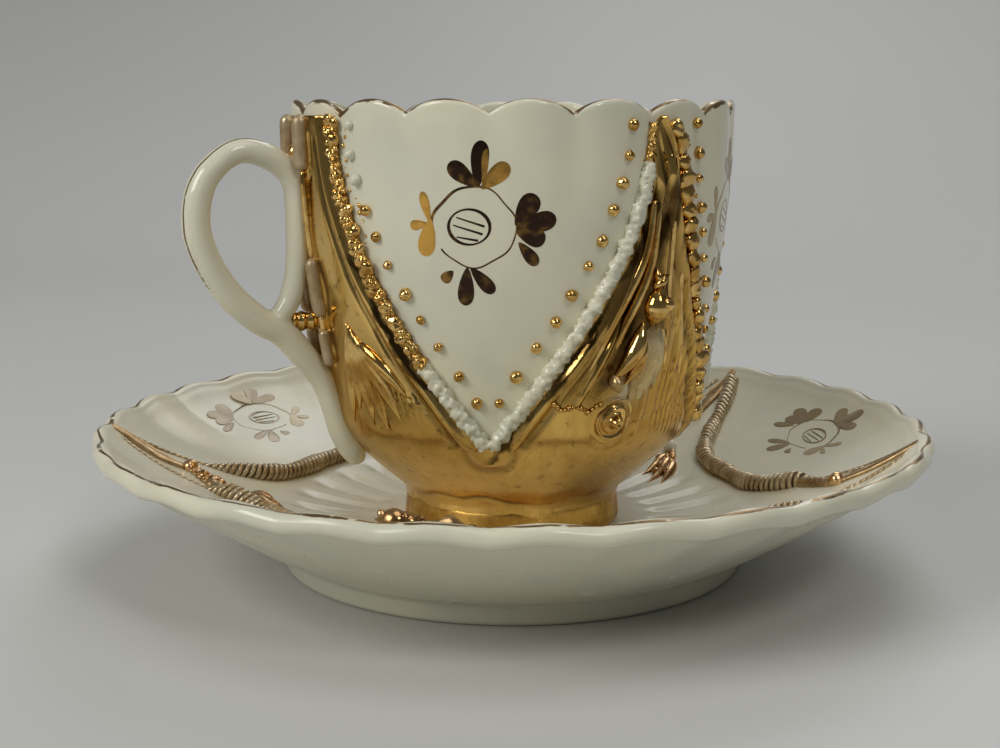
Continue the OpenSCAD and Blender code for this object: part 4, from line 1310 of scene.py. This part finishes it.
# The leg beside the bowl, as the loop is given
LEG = [(-0.02, 0.97, 0.70), (0.00, 0.85, 0.95), (0.00, 0.55, 0.92), (0.03, 0.30, 0.84),
       (0.11, 0.12, 0.84), (0.27, -0.01, 0.70)]


def loop_points(shares):
    """Distance from the axis, height and half thickness at places on the loop."""
    x, y, t = np.array(shares).T
    leg = cup_r((HANDLE_TOP_H + HANDLE_LOW_H) / 2) + LEG_CLEAR
    return np.stack([leg + x * (HANDLE_REACH - LEG_CLEAR),
                     HANDLE_LOW_H + y * (HANDLE_TOP_H - HANDLE_LOW_H), HANDLE_T / 2 * t], -1)


def tail_points():
    drop, lift, t = np.array(TAIL).T
    h = HANDLE_LOW_H - drop
    return np.stack([cup_r(h) + GILT_T + lift, h, HANDLE_T / 2 * t], -1)


def through(points, steps):
    """A smooth curve through points."""
    padded = np.vstack([points[:1], points, points[-1:]])
    made = []
    for a, b, c, d in zip(padded, padded[1:], padded[2:], padded[3:]):
        t = np.linspace(0, 1, steps, endpoint=False)[:, None]
        made.append(0.5 * (2 * b + (c - a) * t + (2 * a - 5 * b + 4 * c - d) * t ** 2
                           + (3 * b - a - 3 * c + d) * t ** 3))
    return np.vstack(made + [points[-1:]])


def handle_sweep(line, width):
    path = np.stack([-line[:, 0], 0 * line[:, 0], SEAT_H + line[:, 1]], -1)
    ups = np.broadcast_to([0.0, 1.0, 0.0], path.shape)
    half_t = line[:, 2]
    half_w = width / 2 * np.minimum(1, half_t / (HANDLE_T / 2))
    return swept(path, ups, half_t, half_w, 28)


def handle():
    """Strap and leg, melted into one form, with a painted line down the spine of the loop.
    The mark spine is the distance from that line."""
    steps = 12
    strap = through(np.vstack([loop_points(STRAP), tail_points()]), steps)
    leg = through(loop_points(LEG), steps)
    points, faces = joined([handle_sweep(strap, HANDLE_W), handle_sweep(leg, HANDLE_W * 0.92)])
    rough = bpy.data.objects.new("handle_rough", new_mesh("handle_rough", points, faces))
    bpy.context.scene.collection.objects.link(rough)
    melt = rough.modifiers.new("melt", "REMESH")
    melt.mode = "VOXEL"
    melt.voxel_size = 0.36 * MM
    settle = rough.modifiers.new("settle", "SMOOTH")
    settle.factor, settle.iterations = 0.5, 14
    graph = bpy.context.evaluated_depsgraph_get()
    mesh = bpy.data.meshes.new_from_object(rough.evaluated_get(graph), depsgraph=graph)
    bpy.data.objects.remove(rough)
    mesh.name = "handle"
    at = np.zeros(len(mesh.vertices) * 3)
    mesh.vertices.foreach_get("co", at)
    at = at.reshape(-1, 3) / MM
    first, last = 2 * steps, 7 * steps
    loop = np.stack([-strap[:, 0], SEAT_H + strap[:, 1]], -1)[first:last]
    gap = np.linalg.norm(at[:, None, [0, 2]] - loop[None, :, :], axis=2)
    near = gap.argmin(1)
    outward = unit(loop - loop.mean(0))
    outer = ((at[:, [0, 2]] - loop[near]) * outward[near]).sum(1)
    on_spine = (outer > 1.0) & (near > 2) & (near < last - first - 3)
    spine = np.where(on_spine, at[:, 1] + 0.9, FAR_OFF)
    layer = mesh.attributes.new("spine", "FLOAT", "POINT")
    layer.data.foreach_set("value", spine.astype(np.float32))
    mesh.shade_smooth()
    mesh.materials.append(handle_glaze)
    new_piece("porcelain_handle", mesh, "cup", "porcelain", ["handle"])


# Rods and stems behind the handle: upper end, lower end and half thickness
RODS = [(69.3, 60.6, 1.3), (60.8, 46.6, 0.55), (47.0, 37.4, 1.2), (37.6, 35.0, 0.55), (35.4, 29.4, 1.0)]
ROD_ASIDE = 3.3
ROD_LEAST = 0.6
# Leaves of the fan below the rods: where each ends, aside and up, and its width
FAN = [(6.8, 20.5, 1.8), (9.4, 23.0, 2.6), (12.2, 20.8, 3.0),
       (15.2, 20.0, 3.1), (18.2, 22.2, 2.8), (20.2, 26.4, 2.2)]


def handle_rods():
    """Rounded rods on a thin stem, down both sides of the handle, and a fan of leaves below."""
    rods, stems, fan = [], [], []
    place, out = cup_place(HANDLE_AT, 0.0)

    def on_gilding(flat, lift):
        return place(flat, lift + GILT_T + 0.15)

    for side in (-1, 1):
        for top, low, thick in RODS:
            h = np.linspace(top, low, 30)
            t = np.linspace(-1, 1, 30)
            full = thick * np.clip(1 - np.abs(t) ** 8, 0.05, 1) ** 0.5
            at = HANDLE_AT + side * cup_degrees(ROD_ASIDE, h)
            rod = swept(on_cup(at, h, GILT_T + 0.5), out_of_cup(at, h), full, full * 1.1, 16)
            (rods if thick > ROD_LEAST else stems).append(rod)
        for x, h, wide in FAN:
            start = (side * (9.6 + 0.1 * x), 37.6 - 0.03 * x * x / 4)
            fan.append(leaf(on_gilding, out, start, (side * x, h), 1.3 * wide, 0.95, 0.6 * side, 26))
    carved("matt_handle_rods", joined(rods), matt_gold, "cup", "worn_gilding")
    carved("gilt_handle_fan", joined(stems + fan), bright_gold, "cup", "gilding")


def handle_fittings():
    """The gilt stud that bridges the handle to the bowl, and the bead at the handle's upper end."""
    h = HANDLE_LOW_H
    steps = 22
    out = np.linspace(cup_r(h) + GILT_T - 0.4, loop_points(LEG)[4, 0] - HANDLE_T / 6 + 0.3, steps)
    line = np.stack([-out, 0 * out, SEAT_H + h + 0 * out], -1)
    t = np.linspace(0, 1, steps)
    half = 1.25 + 0.45 * np.cos(2 * np.pi * 1.5 * t) ** 2 + 0.1 * np.sin(17 * t)
    stud = swept(line, np.broadcast_to([0, 0, 1.0], line.shape), half, half * 1.05, 16)
    carved("gilt_stud", stud, bright_gold, "cup", "gilding", "handle_bridge")
    at, h = np.array([HANDLE_AT, HANDLE_AT + 3.4]), np.array([HANDLE_TOP_H, HANDLE_TOP_H - 0.6])
    row = {"points": on_cup(at, h, 1.3), "ups": out_of_cup(at, h), "thick": np.array([1.2, 0.9])}
    sizes = {"Segments": 24, "Rings": 16, "Flatness": 0.95, "Unevenness": 0.1, "Lump height": 0.3 * MM,
             "Lump scale": 600.0, "Finish": bright_gold}
    path = path_mesh("handle_bead", [row])
    grown("gilt_handle_bead", beads, path, sizes, "cup", "gilding", ["handle_bead"])


# Painted flowers

# A petal: where it starts and ends, from the flower's middle, its width and its tone from dark to amber
PETALS = [
    ((1.3, 5.9), (-2.9, 9.3), 3.0, 0.12), ((1.3, 5.7), (2.0, 12.6), 3.0, 0.0),
    ((1.9, 5.6), (6.0, 9.2), 3.0, 0.55), ((2.2, 5.7), (2.6, 11.8), 1.3, 0.6),
    ((6.9, 0.2), (9.9, 4.8), 3.5, 0.1), ((6.9, -0.2), (12.9, 1.4), 3.3, 0.05),
    ((6.9, -0.5), (11.2, -2.0), 3.2, 0.1), ((7.3, -2.2), (10.0, -5.6), 2.2, 0.15),
    ((-0.4, -6.0), (-0.9, -11.8), 2.8, 0.1), ((0.1, -6.0), (3.5, -9.8), 2.4, 0.05),
    ((-2.6, -6.6), (-4.3, -8.2), 1.9, 0.3), ((-6.0, 0.6), (-7.2, 5.1), 1.7, 0.9),
    ((-5.9, 1.2), (-7.0, -4.5), 3.1, 1.0), ((-6.4, 0.4), (-9.3, 0.0), 1.7, 0.85)]
CENTRE_STROKES = [((-1.9, 1.4), (2.3, 0.1)), ((-2.4, 0.25), (2.0, -1.05)), ((-1.9, -1.5), (1.3, -2.0))]
# Half width and half height of the painted eye and of the ring round it
EYE_HALF = (3.1, 2.6)
RING_HALF = (6.2, 5.85)
RING_ASIDE = 0.7
RING_FROM = 215
RING_SWEEP = 335
PAINT_T = 0.05


def petal_outline(start, end, width):
    """A petal that opens from a narrow start to a round end."""
    start, end = np.asarray(start, float), np.asarray(end, float)
    run = end - start
    across = np.array([-run[1], run[0]]) / np.linalg.norm(run)
    a = np.linspace(0, 2 * np.pi, 34, endpoint=False)
    t = (1 - np.cos(a)) / 2
    return start + run * t[:, None] + across * (width / 2 * np.sin(a) * (0.45 + 0.75 * t))[:, None]


def brush_line(points, half_widths, place, lift):
    """A thin painted line along flat points, as a closed skin."""
    sunk = 0.2
    points = np.asarray(points, float)
    along = unit(np.gradient(points, axis=0))
    across = np.stack([-along[:, 1], along[:, 0]], -1) * np.broadcast_to(half_widths, len(points))[:, None]
    left, right = points + across, points - across
    return turned(np.stack([place(right, -sunk), place(left, -sunk), place(left, lift * 0.4),
                            place(points, lift), place(right, lift * 0.4)], 1))


def flower(place, turn=0.0):
    """A painted flower: a hatched eye, a ring round it, and petals in groups. Gives a skin and its tones."""
    skins, tones = [], []
    c, s = math.cos(math.radians(turn)), math.sin(math.radians(turn))

    def put(flat, lift):
        x, y = flat[:, 0], flat[:, 1]
        return place(np.stack([x * c - y * s, x * s + y * c], -1), lift)

    def keep(skin_, tone):
        skins.append(skin_)
        tones.append(np.full(len(skin_[0]), tone))

    for order, (start, end, width, tone) in enumerate(PETALS):
        thick = PAINT_T + 0.004 * order

        def dome(share, thick=thick):
            return thick * (0.5 + 0.5 * math.sin(math.pi / 2 * min(1.0, 3 * share)))

        keep(patch(petal_outline(start, end, width), put, dome, 3), tone)
    a = np.linspace(0.0, 2 * np.pi, 73)
    eye = np.stack([EYE_HALF[0] * np.cos(a), EYE_HALF[1] * np.sin(a)], -1)
    keep(brush_line(eye, 0.2 + 0.07 * np.sin(2 * a + 0.6), put, PAINT_T), 0.02)
    a = np.linspace(math.radians(RING_FROM), math.radians(RING_FROM + RING_SWEEP), 90)
    wavy = 1 + 0.03 * np.cos(4 * a + 0.4) + 0.02 * np.sin(7 * a)
    ring = np.stack([RING_ASIDE + RING_HALF[0] * wavy * np.cos(a), RING_HALF[1] * wavy * np.sin(a)], -1)
    keep(brush_line(ring, 0.12 + 0.12 * np.maximum(0, np.cos(a - 2.6)) ** 2, put, PAINT_T), 0.25)
    for start, end in CENTRE_STROKES:
        t = np.linspace(0, 1, 9)[:, None]
        stroke = np.array(start) * (1 - t) + np.array(end) * t
        keep(brush_line(stroke, 0.1 + 0.08 * t[:, 0], put, PAINT_T), 0.02)
    return joined(skins), np.concatenate(tones)


def painted(name, flowers_, finish, body, slot):
    tones = np.concatenate([tone for _, tone in flowers_])
    mesh = new_mesh(name, *joined([skin_ for skin_, _ in flowers_]), finish, turn_out=True, tone=tones)
    mesh.set_sharp_from_angle(angle=math.radians(35))
    new_piece(name, mesh, body, slot)


FLOWER_H = 53.0
FLOWER_ASIDE = -3.6
SAUCER_FLOWER_R = 59.0
SAUCER_FLOWER_ASIDE = [0.0, -5.0, 0.0, 0.0, 0.0]
SAUCER_FLOWER_DEEP = 0.65
SAUCER_FLOWER_WIDE = 1.12
SAUCER_FLOWER_TURN = 25.0


def flowers():
    bold, pale = [], []
    for i, at in enumerate(PANEL_AT):
        place, _ = cup_place(at + FLOWER_ASIDE, FLOWER_H)
        (pale if PANELS[i] == "front_right" else bold).append(flower(place))
    painted("painted_cup_flowers", bold, flower_lustre, "cup", "gilding")
    painted("painted_pale_cup_flower", pale, pale_lustre, "cup", "pale_gilding")
    made = []
    for i in range(1, SAUCER_PANELS + 1):
        middle = (tip_at(i) + tip_at(i + 1)) / 2 + SAUCER_FLOWER_ASIDE[i - 1]

        def place(flat, lift, middle=middle):
            r = SAUCER_FLOWER_R + SAUCER_FLOWER_DEEP * flat[:, 1]
            return on_dish(middle + np.degrees(SAUCER_FLOWER_WIDE * flat[:, 0] / r), r, lift)
        made.append(flower(place, SAUCER_FLOWER_TURN))
    painted("painted_saucer_flowers", made, pale_lustre, "saucer", "pale_gilding")


# The stage, the light and the camera

CAMERA_AT = -114.5
CAMERA_R = 253.57
CAMERA_H = 76.46
CAMERA_PITCH = 10.0
CAMERA_YAW = 0.47
CAMERA_LENS = 53.4
FLOOR_REACH = 3200
SWEEP_FROM = 450
FAR_SWEEP_FROM = 1400


def stage():
    """A pale floor that curves up behind the cup, and far away all round it."""
    deep = np.concatenate([np.linspace(-FLOOR_REACH, SWEEP_FROM, 74), np.linspace(470, 1500, 60)])
    wide = np.linspace(-FLOOR_REACH, FLOOR_REACH, 129)
    far, aside = np.meshgrid(deep, wide, indexing="ij")
    away = math.radians(CAMERA_AT + 180)
    behind = 0.0011 * np.maximum(0, far - SWEEP_FROM) ** 2
    round_ = 0.0008 * np.maximum(0, np.hypot(far, aside) - FAR_SWEEP_FROM) ** 2
    x = far * math.cos(away) - aside * math.sin(away)
    y = far * math.sin(away) + aside * math.cos(away)
    points = np.stack([x, y, np.maximum(behind, round_)], -1).reshape(-1, 3)
    cols = len(wide)
    faces = [[r * cols + c, (r + 1) * cols + c, (r + 1) * cols + c + 1, r * cols + c + 1]
             for r in range(len(deep) - 1) for c in range(cols - 1)]
    material, w, shader, place = new_finish("pale_floor")
    soft = w.between(w.noise(2.5, 2.0, vector=place), 0.3, 0.7)
    height = w.add("ShaderNodeSeparateXYZ", {0: place}).outputs["Z"]
    pale = w.mix_colour(soft, rgb(0.62, 0.625, 0.61), rgb(0.65, 0.65, 0.635))
    # Painted shade: the sweep is darker where it rises behind the cup
    colour = w.mix_colour(w.between(height, 0.0, 0.25), pale, rgb(0.55, 0.555, 0.545))
    w.set(shader.inputs["Base Color"], colour)
    shader.inputs["Roughness"].default_value = 0.55
    floor = bpy.data.objects.new("floor", new_mesh("floor", points, faces, material))
    bpy.context.scene.collection.objects.link(floor)


def lamp(name, at, r, z, size, power, colour):
    """A soft square lamp that looks at the cup. The angle is from the camera's side, to the right."""
    light = bpy.data.lights.new(name, "AREA")
    light.shape = "SQUARE"
    light.size, light.energy, light.color = size, power, colour
    lamp_ = bpy.data.objects.new(name, light)
    bpy.context.scene.collection.objects.link(lamp_)
    lamp_.location = Vector(polar(CAMERA_AT + at, r, z).tolist())
    cup_middle = Vector((0, 0, 0.045))
    lamp_.rotation_euler = (cup_middle - lamp_.location).to_track_quat("-Z", "Y").to_euler()


def lights():
    lamp("key_window", -56, 0.92, 0.62, 0.50, 5.2, (1.0, 0.985, 0.96))
    lamp("front_window", 28, 0.85, 0.80, 0.22, 1.6, (1.0, 0.99, 0.97))
    lamp("back_window", 160, 0.80, 0.85, 0.60, 2.5, (0.99, 0.99, 1.0))
    lamp("top_window", 40, 0.25, 1.00, 0.60, 1.7, (1.0, 0.99, 0.97))
    world = bpy.data.worlds.new("room")
    world.use_nodes = True
    world.node_tree.nodes["Background"].inputs["Color"].default_value = rgb(0.97, 0.98, 1.0)
    world.node_tree.nodes["Background"].inputs["Strength"].default_value = 0.16
    bpy.context.scene.world = world


def camera():
    lens = bpy.data.cameras.new("camera")
    lens.lens, lens.sensor_width = CAMERA_LENS, 36.0
    eye = bpy.data.objects.new("camera", lens)
    bpy.context.scene.collection.objects.link(eye)
    eye.location = Vector((polar(CAMERA_AT, CAMERA_R, CAMERA_H) * MM).tolist())
    pitch = math.radians(CAMERA_PITCH)
    facing = polar(CAMERA_AT + 180 + CAMERA_YAW, math.cos(pitch), -math.sin(pitch))
    eye.rotation_euler = Vector(facing.tolist()).to_track_quat("-Z", "Y").to_euler()
    bpy.context.scene.camera = eye


stage()
lights()
camera()
saucer_plate()
saucer_foot()
saucer_cords()
saucer_tips()
cup_bowl()
cup_foot()
gilt_calyx()
cup_cords()
enamel_beads()
sepal_trimmings()
handle()
handle_rods()
handle_fittings()
flowers()

bpy.context.scene.view_settings.view_transform = "Standard"
